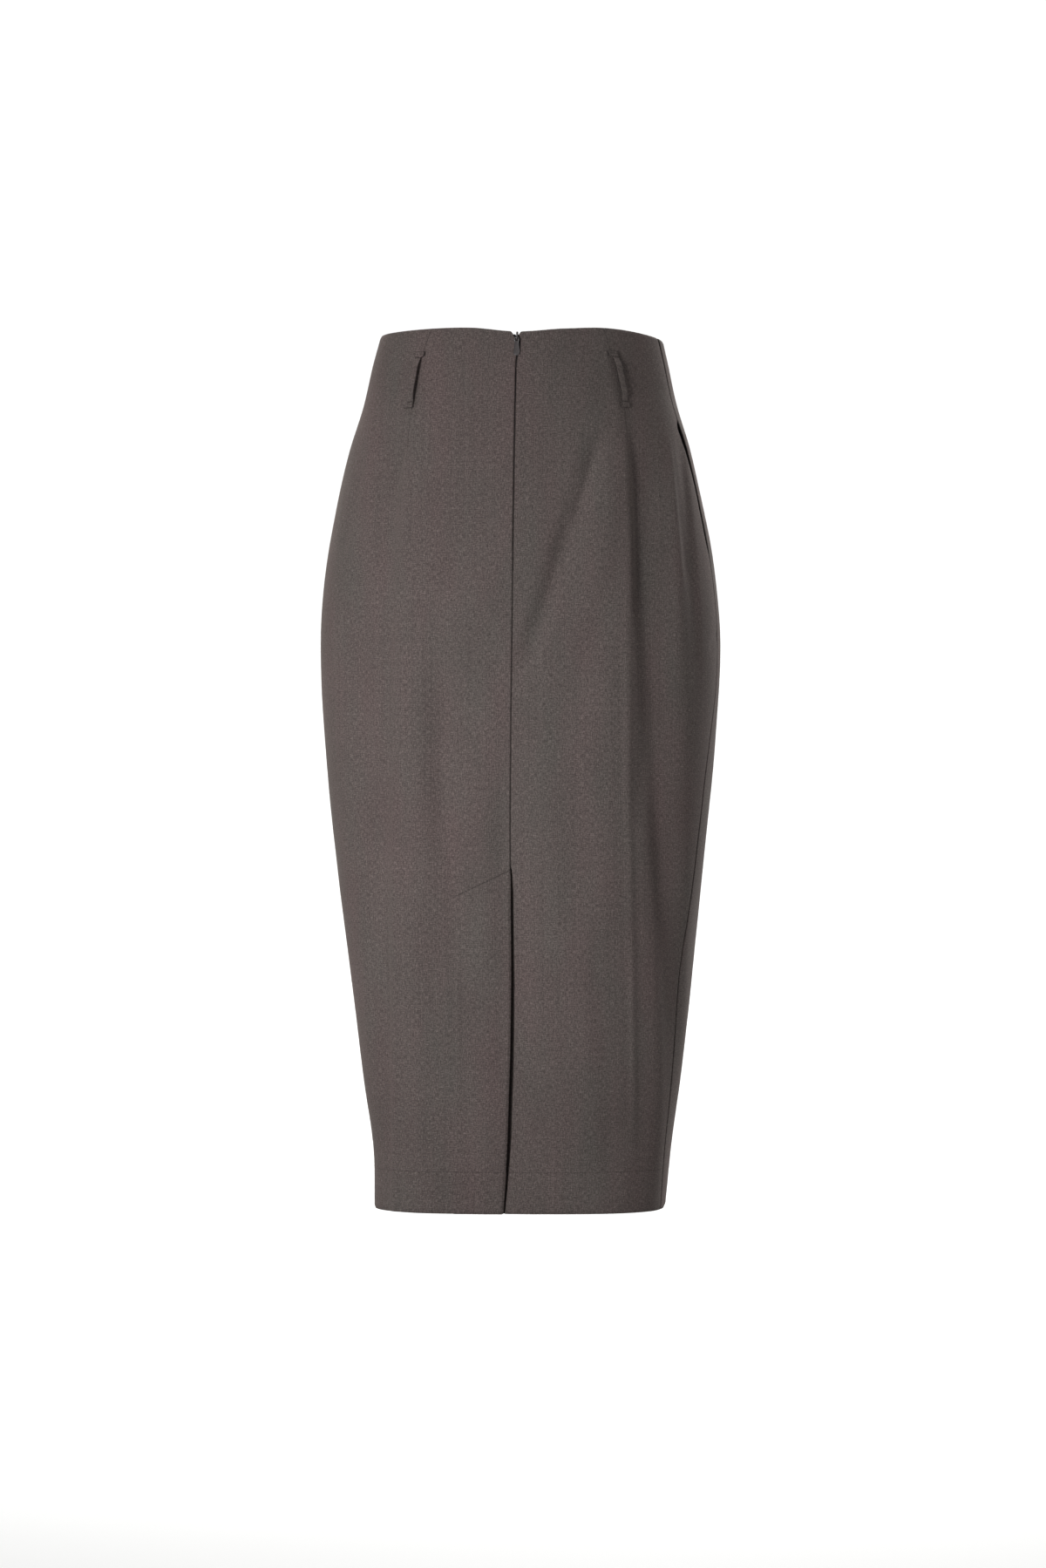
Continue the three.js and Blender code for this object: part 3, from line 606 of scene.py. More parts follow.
def back_right_panel():
    rows = cloth_rows()
    seam = read_straight(BACK_SEAM, "shift", rows)
    opened = read_straight(BACK_SEAM, "open", rows)
    down = np.clip((VENT_TOP + UNDERLAP_STEP - rows) / UNDERLAP_STEP, 0, 1)
    edge = seam - mix(read_straight(BACK_SEAM, "right", rows), opened, down)
    start = side_seam(-1, rows) + SEAM_GAP / 2 + MOUTH_BACK * mouth(rows)
    main = spread(start, edge, 92, SEAM_STEPS, ROLL_STEPS)
    lap_steps = np.array([0.25, 0.6, 1.1, 1.8, 3, 5, 8, 12, 17, 22, 27, 32, 37, 41, 44, 46, 47.4])
    lap = edge[:, None] + lap_steps
    lap = np.concatenate([lap, seam[:, None] + UNDERLAP], axis=1)
    s = np.concatenate([main, lap], axis=1)
    z = np.broadcast_to(rows[:, None], s.shape)
    past = s - edge[:, None]
    down = down[:, None]
    deep = UNDERLAP_SINK + UNDERLAP_DIP * np.exp(-((past / 9) ** 2))
    dip = -deep * smooth((past + 0.5) / 1.1) * down
    slant = VENT_SLANT * np.maximum(past, 0) / UNDERLAP
    drop = slant * np.clip((z - HEM_Z) / (VENT_TOP - HEM_Z), 0, 1)
    columns = main.shape[1]
    cells = np.ones((len(rows) - 1, s.shape[1] - 1), bool)
    cells[:, columns - 1:] = (rows[:-1] <= VENT_TOP + 0.01)[:, None]
    from_edge = np.where(past > 0, 99.0, -past)
    swell = np.full(s.shape, 0.1)
    swell[[0, -1], :] = 0.45
    swell[:, -1] = 0.3
    # Just inside the vent the underlap is painted near black: painted shade in the slot under the lapping edge
    shade = down * smooth((past + 0.3) / 0.6) * np.minimum(1, smooth((16 - past) / 12) * 1.6)
    return panel(
        "right_back", s, z, drop=drop, sink=dip, cells=cells, swell=swell, shade=shade, notch=from_edge,
        edges=(
            (from_edge, mix(0.5, 0.2, down), mix(1.1, 0.8, down), mix(1.1, 0.4, down)),
            (s - start[:, None], 0.6, 1.2, 0.8),
        ),
    )


def front_panel():
    rows = cloth_rows()
    start = side_seam(1, rows) + SEAM_GAP / 2 + MOUTH_FRONT * mouth(rows)
    end = FORM.rounds(rows) + side_seam(-1, rows) - SEAM_GAP / 2 - MOUTH_FRONT * mouth(rows)
    s = spread(start, end, 136, SEAM_STEPS, SEAM_STEPS)
    z = np.broadcast_to(rows[:, None], s.shape)
    swell = np.full(s.shape, 0.1)
    swell[[0, -1], :] = 0.45
    edges = ((s - start[:, None], 0.6, 1.2, 0.8), (end[:, None] - s, 0.6, 1.2, 0.8))
    # The cut edge inside each pocket mouth lies in deep shade
    near_edge = np.minimum(s - start[:, None], end[:, None] - s)
    shade = 1.4 * np.minimum(1, mouth(z)) * np.exp(-((near_edge / 0.25) ** 2))
    return panel("front_cloth", s, z, swell=swell, edges=edges, shade=shade)


def belt_loop(name, top, at, foot, end, head_aside, foot_aside):
    """A strap folded from a strip: flat and wider where it is tacked, bowed off the cloth between."""
    t = np.concatenate([[0, 0.004, 0.009], np.linspace(0.016, 0.984, 64), [0.991, 0.996, 1]])
    steps = len(t) - 1
    around = np.linspace(0, 2 * math.pi, 32, endpoint=False)
    near_end = np.maximum(np.exp(-((t / 0.09) ** 2)), np.exp(-(((1 - t) / 0.09) ** 2)))
    head, heel = smooth((0.105 - t) / 0.022), smooth((t - 0.895) / 0.022)
    width = 6.6 + 4.2 * (head + heel)
    thick = LOOP_THICK * (1 - 0.3 * near_end)
    tip = np.minimum(1, np.sqrt(np.clip(np.minimum(t, 1 - t) / 0.012, 0.05, 1)))
    rise = smooth((t - 0.1) / 0.18) * smooth((0.9 - t) / 0.18)
    out = LOOP_SEAT + (LOOP_STAND - LOOP_SEAT) * rise
    across = power(np.cos(around), 0.28)[None, :] * (width * 0.5 * mix(0.9, 1, tip))[:, None]
    across = across + (head * head_aside + heel * foot_aside)[:, None]
    depth = (power(np.sin(around), 0.7)[None, :] * 0.5 * tip[:, None] + 0.5) * thick[:, None]
    crown = 0.2 * (1 - (np.cos(around)[None, :]) ** 2) * (np.sin(around)[None, :] > 0)
    s = mix(at, end, t)[:, None] + across
    z = np.broadcast_to(mix(top, foot, t)[:, None], s.shape)
    points = skin(s, z, out[:, None] + depth + crown).reshape(-1, 3)
    ring = len(around)
    index = np.arange(len(points)).reshape(steps + 1, ring)
    turned = np.roll(index, -1, axis=1)
    faces = np.stack([index[:-1], index[1:], turned[1:], turned[:-1]], -1).reshape(-1, 4).tolist()
    faces += [index[0].tolist(), index[-1][::-1].tolist()]
    mesh = bpy.data.meshes.new(name)
    mesh.from_pydata((points * MM).tolist(), [], faces)
    layer = mesh.uv_layers.new(name="cloth")
    flat = np.stack([s.ravel() * MM, z.ravel() * MM], -1)
    for loop in mesh.loops:
        layer.data[loop.index].uv = flat[loop.vertex_index]
    # The underside, the folded rim and the tacked ends' outline lie in shade
    rim = 1.2 * smooth((np.abs(np.cos(around)) - 0.38) / 0.35)[None, :]
    tacked = np.exp(-((t / 0.012) ** 2)) + np.exp(-(((t - 0.11) / 0.012) ** 2))
    tacked = (tacked + tacked[::-1])[:, None]
    painted_shade = np.where(np.sin(around)[None, :] > 0.1, np.maximum(rim, 1.1 * tacked), 1.3)
    mesh.attributes.new("painted_shade", "FLOAT", "POINT").data.foreach_set("value", painted_shade.ravel().astype(np.float32))
    mesh.polygons.foreach_set("use_smooth", [True] * len(mesh.polygons))
    thing = bpy.data.objects.new(name + "_strap", mesh)
    bpy.context.scene.collection.objects.link(thing)
    return thing


def add_node(tree, kind, inputs=None, **settings):
    """Adds a node, sets its settings, and sets or links its inputs by name or number."""
    made = tree.nodes.new(kind)
    for name, value in settings.items():
        setattr(made, name, value)
    for socket, value in (inputs or {}).items():
        if isinstance(value, bpy.types.NodeSocket):
            tree.links.new(value, made.inputs[socket])
        else:
            made.inputs[socket].default_value = value
    return made


def new_material(name, roughness, **shader):
    """A material with one Principled shader, whose even values are set on its own sockets."""
    material = bpy.data.materials.new(name)
    material.use_nodes = True
    tree = material.node_tree
    surface = tree.nodes["Principled BSDF"]
    surface.inputs["Roughness"].default_value = roughness
    for socket, value in shader.items():
        surface.inputs[socket.replace("_", " ")].default_value = value
    return material, tree, surface


def threads(tree, vector, across, along):
    """Streaks of thread: noise stretched along one way of the cloth, in metres."""
    lay = add_node(tree, "ShaderNodeMapping", {"Vector": vector, "Scale": (1 / across, 1 / along, 1)})
    return add_node(
        tree, "ShaderNodeTexNoise", {"Vector": lay.outputs[0], "Scale": 1.0, "Detail": 3.0, "Roughness": 0.62}
    ).outputs["Fac"]


def line_mask(tree, vector, start, end, width):
    """One near a straight line on the cloth and nothing beyond its half width, in metres."""
    reach = (end[0] - start[0], end[1] - start[1], 0)
    size = reach[0] ** 2 + reach[1] ** 2
    away = add_node(tree, "ShaderNodeVectorMath", {0: vector, 1: (*start, 0)}, operation="SUBTRACT").outputs[0]
    part = add_node(tree, "ShaderNodeVectorMath", {
        0: away, 1: (reach[0] / size, reach[1] / size, 0)}, operation="DOT_PRODUCT").outputs["Value"]
    held = add_node(tree, "ShaderNodeClamp", {"Value": part}).outputs[0]
    foot = add_node(tree, "ShaderNodeVectorMath", {0: reach, "Scale": held}, operation="SCALE").outputs[0]
    off = add_node(tree, "ShaderNodeVectorMath", {0: away, 1: foot}, operation="DISTANCE").outputs["Value"]
    return add_node(
        tree, "ShaderNodeMapRange", {0: off, 1: 0.0, 2: width, 3: 1.0, 4: 0.0}, interpolation_type="SMOOTHSTEP",
    ).outputs[0]


def suiting_material(settings):
    """Wool-blend mixture suiting, plain woven from yarns spun of dark and light fibres and pressed.

    The eye sees a matt taupe ground, short light and dark streaks both ways, and a soft bloom at the edges."""
    material, tree, surface = new_material(
        "Wool-blend mixture suiting", 0.9,
        Specular_IOR_Level=0.22, Sheen_Weight=0.32, Sheen_Roughness=0.55, Sheen_Tint=linear("b3a59c"),
    )
    uv = add_node(tree, "ShaderNodeUVMap", uv_map="cloth").outputs[0]
    # Fibres of two tones make fine flecks; slubs in single yarns draw long faint streaks
    yarn = settings.yarn_spacing
    mixed = 0.0
    for across, along, weight in (
        (2.6, 2.6, 0.8), (1.7, 9.0, 0.85), (9.0, 1.7, 0.75), (2.2, 480.0, 0.22), (420.0, 2.2, 0.14),
    ):
        layer = threads(tree, uv, across * yarn, along * yarn)
        mixed = add_node(
            tree, "ShaderNodeMath", {0: layer, 1: weight, 2: mixed}, operation="MULTIPLY_ADD").outputs[0]
    ground = add_node(tree, "ShaderNodeValToRGB", {"Fac": add_node(
        tree, "ShaderNodeMapRange", {0: mixed, 1: 1.03, 2: 1.73}).outputs[0]})
    ramp = ground.color_ramp
    ramp.elements[0].color = settings.dark_fibre
    ramp.elements[1].color = settings.light_fibre
    middle = ramp.elements.new(0.5)
    middle.color = settings.cloth_colour
    # Broad unevenness of dye and pressing, about 60 mm across
    cloud = threads(tree, uv, 0.055, 0.09)
    shade = add_node(tree, "ShaderNodeMapRange", {0: cloud, 1: 0.3, 2: 0.7, 3: 0.93, 4: 1.06}).outputs[0]
    # The attribute read here darkens the colour as painted shade: along seams and turned edges, in the vent's slot, at
    # the pocket mouths and on the belt loops
    painted_shade = add_node(tree, "ShaderNodeAttribute", attribute_name="painted_shade").outputs["Fac"]
    painted_shade_factor = add_node(tree, "ShaderNodeMath", {0: painted_shade, 1: -0.62, 2: 1.0}, operation="MULTIPLY_ADD").outputs[0]
    lines = 0.0
    for name, s0, z0, s1, z1, width in SEAM_LINES:
        line = line_mask(tree, uv, (s0 * MM, z0 * MM), (s1 * MM, z1 * MM), width * MM)
        lines = add_node(tree, "ShaderNodeMath", {0: lines, 1: line}, operation="MAXIMUM").outputs[0]
    sewn = add_node(tree, "ShaderNodeMath", {0: lines, 1: -0.3, 2: 1.0}, operation="MULTIPLY_ADD").outputs[0]
    weight = add_node(tree, "ShaderNodeMath", {0: shade, 1: painted_shade_factor}, operation="MULTIPLY").outputs[0]
    weight = add_node(tree, "ShaderNodeMath", {0: weight, 1: sewn}, operation="MULTIPLY").outputs[0]
    colour = add_node(tree, "ShaderNodeVectorMath", {0: ground.outputs[0], "Scale": weight}, operation="SCALE")
    # The dye leans a little to plum here and to grey there, in bands down the cloth
    bands = threads(tree, uv, 0.05, 0.17)
    plum = add_node(tree, "ShaderNodeMapRange", {0: bands, 1: 0.32, 2: 0.68, 3: 0.95, 4: 1.05}).outputs[0]
    grey = add_node(tree, "ShaderNodeMapRange", {0: bands, 1: 0.32, 2: 0.68, 3: 1.02, 4: 0.98}).outputs[0]
    lean = add_node(tree, "ShaderNodeCombineXYZ", {0: plum, 1: grey, 2: 1.0})
    colour = add_node(
        tree, "ShaderNodeVectorMath", {0: colour.outputs[0], 1: lean.outputs[0]}, operation="MULTIPLY")
    tree.links.new(colour.outputs[0], surface.inputs["Base Color"])
    # Relief of the weave: ribs both ways at twice the yarn spacing, and the streaks
    ribs = []
    for turn in (0, 90):
        lay = add_node(tree, "ShaderNodeMapping", {"Vector": uv, "Rotation": (0, 0, math.radians(turn))})
        ribs.append(add_node(tree, "ShaderNodeTexWave", {
            "Vector": lay.outputs[0], "Scale": 1 / (2 * yarn) / 3.14, "Distortion": 1.2, "Detail": 1.0,
            "Detail Scale": 2.0}, wave_type="BANDS", bands_direction="X").outputs["Fac"])
    weave = add_node(tree, "ShaderNodeMath", {0: ribs[0], 1: ribs[1]}, operation="ADD").outputs[0]
    relief = add_node(tree, "ShaderNodeMath", {0: weave, 1: 0.5, 2: mixed}, operation="MULTIPLY_ADD").outputs[0]
    relief = add_node(tree, "ShaderNodeMath", {0: lines, 1: -2.6, 2: relief}, operation="MULTIPLY_ADD").outputs[0]
    bump = add_node(tree, "ShaderNodeBump", {"Strength": 0.35, "Distance": 0.00022, "Height": relief})
    tree.links.new(bump.outputs[0], surface.inputs["Normal"])
    return material


def pocketing_material(settings):
    """Cotton pocketing, plain woven and calendered: smooth, matt and a little darker than the cloth."""
    material, tree, surface = new_material("Plain cotton pocketing", 0.82, Specular_IOR_Level=0.3)
    uv = add_node(tree, "ShaderNodeUVMap", uv_map="cloth").outputs[0]
    grain = threads(tree, uv, 0.0012, 0.004)
    ramp = add_node(tree, "ShaderNodeValToRGB", {"Fac": grain})
    ramp.color_ramp.elements[0].color = linear("403b39")
    ramp.color_ramp.elements[1].color = linear("544e4b")
    # The attribute read here darkens the bag near the pocket mouth as painted shade
    painted_shade = add_node(tree, "ShaderNodeAttribute", attribute_name="painted_shade").outputs["Fac"]
    kept = add_node(tree, "ShaderNodeMath", {0: painted_shade, 1: -0.75, 2: 1.0}, operation="MULTIPLY_ADD").outputs[0]
    colour = add_node(tree, "ShaderNodeVectorMath", {0: ramp.outputs[0], "Scale": kept}, operation="SCALE")
    tree.links.new(colour.outputs[0], surface.inputs["Base Color"])
    bump = add_node(tree, "ShaderNodeBump", {"Strength": 0.2, "Distance": 0.0002, "Height": grain})
    tree.links.new(bump.outputs[0], surface.inputs["Normal"])
    return material


def tape_material(settings):
    """Polyester zip tape, warp knitted: fine slanting ribs and a faint lustre."""
    material, tree, surface = new_material("Knitted polyester tape", 0.7, Specular_IOR_Level=0.4)
    uv = add_node(tree, "ShaderNodeUVMap", uv_map="cloth").outputs[0]
    lay = add_node(tree, "ShaderNodeMapping", {"Vector": uv, "Rotation": (0, 0, math.radians(32))})
    rib = add_node(tree, "ShaderNodeTexWave", {
        "Vector": lay.outputs[0], "Scale": 1 / 0.0011 / 3.14, "Distortion": 0.6}, wave_type="BANDS")
    ramp = add_node(tree, "ShaderNodeValToRGB", {"Fac": rib.outputs["Fac"]})
    ramp.color_ramp.elements[0].color = linear("26252a")
    ramp.color_ramp.elements[1].color = linear("36353b")
    tree.links.new(ramp.outputs[0], surface.inputs["Base Color"])
    bump = add_node(tree, "ShaderNodeBump", {"Strength": 0.3, "Distance": 0.0003, "Height": rib.outputs["Fac"]})
    tree.links.new(bump.outputs[0], surface.inputs["Normal"])
    return material


def lacquer_material(settings):
    """Die-cast zinc, sprayed with a colour-matched lacquer: smooth, half gloss and finely speckled."""
    material, tree, surface = new_material("Lacquered die-cast zinc", 0.38, Metallic=0.1, Coat_Weight=0.2)
    place = add_node(tree, "ShaderNodeTexCoord").outputs["Object"]
    speck = add_node(tree, "ShaderNodeTexNoise", {"Vector": place, "Scale": 900.0, "Detail": 2.0}).outputs["Fac"]
    ramp = add_node(tree, "ShaderNodeValToRGB", {"Fac": speck})
    ramp.color_ramp.elements[0].color = linear("4a4647")
    ramp.color_ramp.elements[1].color = linear("605b5b")
    tree.links.new(ramp.outputs[0], surface.inputs["Base Color"])
    bump = add_node(tree, "ShaderNodeBump", {"Strength": 0.12, "Distance": 0.0001, "Height": speck})
    tree.links.new(bump.outputs[0], surface.inputs["Normal"])
    return material


def thread_material(settings):
    """Spun polyester sewing thread, twisted: a touch darker and shinier than the cloth."""
    material, tree, surface = new_material("Spun polyester thread", 0.55, Specular_IOR_Level=0.4)
    place = add_node(tree, "ShaderNodeTexCoord").outputs["Object"]
    twist = add_node(tree, "ShaderNodeTexNoise", {"Vector": place, "Scale": 2200.0}).outputs["Fac"]
    ramp = add_node(tree, "ShaderNodeValToRGB", {"Fac": twist})
    ramp.color_ramp.elements[0].color = settings.thread_colour
    ramp.color_ramp.elements[1].color = tuple(c * 1.5 for c in settings.thread_colour[:3]) + (1.0,)
    tree.links.new(ramp.outputs[0], surface.inputs["Base Color"])
    return material


MATERIALS = {
    "suiting": suiting_material,
    "pocketing": pocketing_material,
    "zip_tape": tape_material,
    "zip_metal": lacquer_material,
    "thread": thread_material,
}
made_materials = {}


def material_for(name):
    """The named material, made the first time that it is asked for."""
    if name not in made_materials:
        made_materials[name] = MATERIALS[name](bpy.context.scene.skirt)
    return made_materials[name]


def repeat_tree():
    """Geometry Nodes that lay one small rounded bar after another along a path on the cloth."""
    tree = bpy.data.node_groups.new("Repeat along a seam", "GeometryNodeTree")
    face = tree.interface
    face.new_socket("Geometry", in_out="INPUT", socket_type="NodeSocketGeometry")
    for name, default in (("Pitch", 0.003), ("Along", 0.002), ("Across", 0.0005), ("Height", 0.0005), ("Uneven", 0.1)):
        face.new_socket(name, in_out="INPUT", socket_type="NodeSocketFloat").default_value = default
    face.new_socket("Material", in_out="INPUT", socket_type="NodeSocketMaterial")
    face.new_socket("Geometry", in_out="OUTPUT", socket_type="NodeSocketGeometry")
    given = add_node(tree, "NodeGroupInput").outputs
    path = add_node(tree, "GeometryNodeMeshToCurve", {"Mesh": given["Geometry"]})
    points = add_node(
        tree, "GeometryNodeCurveToPoints", {"Curve": path.outputs[0], "Length": given["Pitch"]}, mode="LENGTH")
    along = add_node(tree, "FunctionNodeAlignRotationToVector", {"Vector": points.outputs["Tangent"]}, axis="X")
    up = add_node(tree, "GeometryNodeInputNamedAttribute", {"Name": "up"}, data_type="FLOAT_VECTOR")
    square = add_node(tree, "FunctionNodeAlignRotationToVector", {
        "Rotation": along.outputs[0], "Vector": up.outputs[0]}, axis="Z", pivot_axis="X")
    size = add_node(tree, "ShaderNodeCombineXYZ", {0: given["Along"], 1: given["Across"], 2: given["Height"]})
    low = add_node(tree, "ShaderNodeMath", {0: 1.0, 1: given["Uneven"]}, operation="SUBTRACT").outputs[0]
    vary = add_node(tree, "FunctionNodeRandomValue", {2: low, 3: 1.0, "Seed": 11}, data_type="FLOAT").outputs[1]
    scaled = add_node(tree, "ShaderNodeVectorMath", {0: size.outputs[0], "Scale": vary}, operation="SCALE")
    bar = add_node(tree, "GeometryNodeMeshUVSphere", {"Segments": 8, "Rings": 6, "Radius": 0.5})
    laid = add_node(tree, "GeometryNodeInstanceOnPoints", {
        "Points": points.outputs["Points"], "Instance": bar.outputs["Mesh"],
        "Rotation": square.outputs[0], "Scale": scaled.outputs[0]})
    real = add_node(tree, "GeometryNodeRealizeInstances", {0: laid.outputs[0]})
    soft = add_node(tree, "GeometryNodeSetShadeSmooth", {0: real.outputs[0]})
    painted = add_node(tree, "GeometryNodeSetMaterial", {0: soft.outputs[0], "Material": given["Material"]})
    add_node(tree, "NodeGroupOutput", {0: painted.outputs[0]})
    return tree


def repeat_along(name, paths, material, **sizes):
    """Small bars along paths of (place, height, out) rows on the cloth, joined in one plain mesh."""
    points, edges, ups = [], [], []
    for path in paths:
        path = np.asarray(path, float)
        here = skin(path[:, 0], path[:, 1], path[:, 2])
        above = skin(path[:, 0], path[:, 1], path[:, 2] + 1)
        first = len(points)
        points += (here * MM).tolist()
        ups += (above - here).tolist()
        edges += [(first + i, first + i + 1) for i in range(len(path) - 1)]
    mesh = bpy.data.meshes.new(name + "_path")
    mesh.from_pydata(points, edges, [])
    mesh.attributes.new("up", "FLOAT_VECTOR", "POINT").data.foreach_set("vector", np.ravel(ups))
    carrier = bpy.data.objects.new(name + "_path", mesh)
    bpy.context.scene.collection.objects.link(carrier)
    tree = bpy.data.node_groups.get("Repeat along a seam") or repeat_tree()
    modifier = carrier.modifiers.new("Repeat", "NODES")
    modifier.node_group = tree
    sockets = {item.name: item.identifier for item in tree.interface.items_tree if item.in_out == "INPUT"}
    for key, value in sizes.items():
        modifier[sockets[key.capitalize()]] = value * (1 if key == "uneven" else MM)
    modifier[sockets["Material"]] = material
    bpy.context.view_layer.update()
    evaluated = carrier.evaluated_get(bpy.context.evaluated_depsgraph_get())
    result = bpy.data.meshes.new_from_object(evaluated)
    result.name = name
    thing = bpy.data.objects.new(name, result)
    bpy.context.scene.collection.objects.link(thing)
    bpy.data.objects.remove(carrier)
    return thing


def pocket_bag(side):
    """A pouch of two layers, sewn together at its top, end and foot and open at the seam."""
    rows, half = 66, 34
    z = np.linspace(BAG_TOP - 0.4, BAG_FOOT + 0.4, rows)
    reach = read(BAG_REACH, "reach", z) - 0.4
    t = np.concatenate([np.linspace(0, 1, half), [1.0], np.linspace(1, 0, half)])
    back = np.concatenate([np.zeros(half), [0.5], np.ones(half)])
    past = np.where(back[None, :] < 0.75, mix(2.6, reach[:, None], t), mix(-BAG_FACING + 0.6, reach[:, None], t))
    near_edge = np.minimum(z[:, None] - BAG_FOOT, BAG_TOP - z[:, None])
    pinch = smooth(near_edge / 14) * smooth((reach[:, None] - past) / 12)
    sag = 2.4 * smooth(past / 60)
    middle = -1.4 - 1.1 - 2.6 - sag
    depth = middle + np.where(back[None, :] < 0.25, 1, np.where(back[None, :] > 0.75, -1, 0)) * (0.45 + 1.65 * pinch)
    s = side_seam(side, z)[:, None] + side * past
    heights = np.broadcast_to(z[:, None], s.shape)
    outer = skin(s, heights, depth, fine=False)
    step = np.where(back < 0.25, 1.0, np.where(back > 0.75, -1.0, 0.0))[None, :]
    inner = skin(s - side * (step == 0) * 0.5, heights, depth - 0.5 * step, fine=False)
    # Near the mouth the bag is painted darker: painted shade inside the pocket
    at_mouth = 1.2 * smooth((16 - np.abs(past)) / 6) * np.minimum(1, mouth(heights))
    uv = np.stack([(past + 300 * back[None, :]) * MM, heights * MM], -1)
    if side < 0:
        outer, inner, uv, at_mouth = outer[:, ::-1], inner[:, ::-1], uv[:, ::-1], at_mouth[:, ::-1]
    name = "pocket_pouch_left" if side > 0 else "pocket_pouch_right"
    return shell(name, outer, inner, uv, at_mouth, swell=0.3)


def zip_tape(side):
    """One tape of the zip, folded back along its coil and spread round the slider."""
    rows = np.linspace(TAPE_TOP - 0.3, TAPE_FOOT + 0.3, 120)
    near = np.maximum(TAPE_SPREAD * smooth((rows + 32) / 14), SEAM_GAP / 2) + 0.05
    across = np.linspace(0, 1, 14)[None, :]
    s = read_straight(BACK_SEAM, "shift", rows)[:, None] + side * mix(near[:, None], TAPE_WIDTH - 0.2, across)
    z = np.broadcast_to(rows[:, None], s.shape)
    if side < 0:
        s = s[:, ::-1]
    outer = skin(s, z, -TAPE_SINK - 0.08, fine=False)
    inner = skin(s, z, -TAPE_SINK - 0.68, fine=False)
    uv = np.stack([s * MM * side, z * MM], -1)
    return shell("tape_left" if side > 0 else "tape_right", outer, inner, uv, np.zeros(s.shape), swell=0.4)


def joined(name, parts):
    """One mesh from several lists of points in millimetres and faces."""
    points, faces = [], []
    for part_points, part_faces in parts:
        first = len(points)
        points += (np.asarray(part_points) * MM).tolist()
        faces += [[first + i for i in face] for face in part_faces]
    mesh = bpy.data.meshes.new(name)
    mesh.from_pydata(points, [], faces)
    mesh.polygons.foreach_set("use_smooth", [True] * len(mesh.polygons))
    thing = bpy.data.objects.new(name, mesh)
    bpy.context.scene.collection.objects.link(thing)
    return thing


def tube_ring(centre, radius, wire, around=32, section=14):
    """A ring of wire standing in the YZ plane."""
    points = []
    for i in range(around):
        a = 2 * math.pi * i / around
        for k in range(section):
            b = 2 * math.pi * k / section
            far = radius + wire * math.cos(b)
            points.append((centre[0] + wire * math.sin(b), centre[1] + far * math.cos(a), centre[2] + far * math.sin(a)))
    faces = []
    for i in range(around):
        for k in range(section):
            j, m = (i + 1) % around, (k + 1) % section
            faces.append((i * section + k, i * section + m, j * section + m, j * section + k))
    return points, faces


def pillow(centre, size, square=5.0, around=36, rings=16):
    """A block with softly rounded edges and corners, as a rounded cube in polar rows."""
    points = [(centre[0], centre[1], centre[2] + size[2] / 2)]
    e = 2 / square
    for r in range(1, rings):
        polar = math.pi * r / rings
        for k in range(around):
            a = 2 * math.pi * k / around
            x = float(power(math.sin(polar), e) * power(math.cos(a), e)) * size[0] / 2
            y = float(power(math.sin(polar), e) * power(math.sin(a), e)) * size[1] / 2
            z = float(power(math.cos(polar), e)) * size[2] / 2
            points.append((centre[0] + x, centre[1] + y, centre[2] + z))
    points.append((centre[0], centre[1], centre[2] - size[2] / 2))
    last = len(points) - 1
    faces = [(0, 1 + k, 1 + (k + 1) % around) for k in range(around)]
    for r in range(rings - 2):
        for k in range(around):
            a, b = 1 + r * around + k, 1 + r * around + (k + 1) % around
            faces.append((a, a + around, b + around, b))
    first = 1 + (rings - 2) * around
    faces += [(last, first + (k + 1) % around, first + k) for k in range(around)]
    return points, faces


def pull_axis():
    return skin(0.0, PULL_AXIS_Z, PULL_AXIS_OUT, fine=False)


def zip_slider():
    """The slider: two plates behind the tapes with the coil's channel between, a neck and the eye."""
    axis = pull_axis()
    behind = float(skin(0.0, -8.1, -3.2, fine=False)[1])
    parts = [
        pillow((axis[0], behind - 0.55, -8.1), (6.3, 0.9, 8.8)),
        pillow((axis[0], behind - 1.95, -8.1), (6.3, 0.8, 8.8)),
        pillow((axis[0] - 2.85, behind - 1.25, -8.6), (0.6, 2.1, 7.4)),
        pillow((axis[0] + 2.85, behind - 1.25, -8.6), (0.6, 2.1, 7.4)),
        pillow((axis[0], behind - 1.2, -5.4), (1.8, 1.9, 2.6)),
        pillow((axis[0], (axis[1] + behind) / 2 - 0.7, PULL_AXIS_Z), (1.08, axis[1] - behind - 0.6, 3.5)),
        pillow((axis[0] - 0.35, axis[1] - 3.1, -4.4), (1.9, 1.5, 7.0)),
        tube_ring(axis, EYE_RADIUS, EYE_WIRE),
    ]
    return joined("slider_body", parts)


def pull_outline(count=240):
    """The tab's drop outline from its top round by +X, in millimetres, on the axis of its hinge."""
    neck, belly, bar, shoulder = 3.7, 5.6, 0.47, 3.4
    foot = -PULL_LENGTH + bar
    curves = (
        ((neck / 2, -shoulder), (neck / 2, foot * 0.55), (belly / 2, foot * 0.62), (belly / 2, foot + belly * 0.62)),
        ((belly / 2, foot + belly * 0.62), (belly / 2, foot + belly * 0.2), (belly * 0.22, foot), (0, foot)),
    )
    t = np.linspace(0, 1, count)[:, None]
    right = [np.array([[0, bar], [neck / 2 - 0.5, bar], [neck / 2, bar - 0.5]])]
    for a, b, c, d in curves:
        a, b, c, d = (np.array(p, float) for p in (a, b, c, d))
        right.append((1 - t) ** 3 * a + 3 * (1 - t) ** 2 * t * b + 3 * (1 - t) * t * t * c + t ** 3 * d)
    right = np.concatenate(right)
    left = right[::-1] * (-1, 1)
    return np.concatenate([right, left])


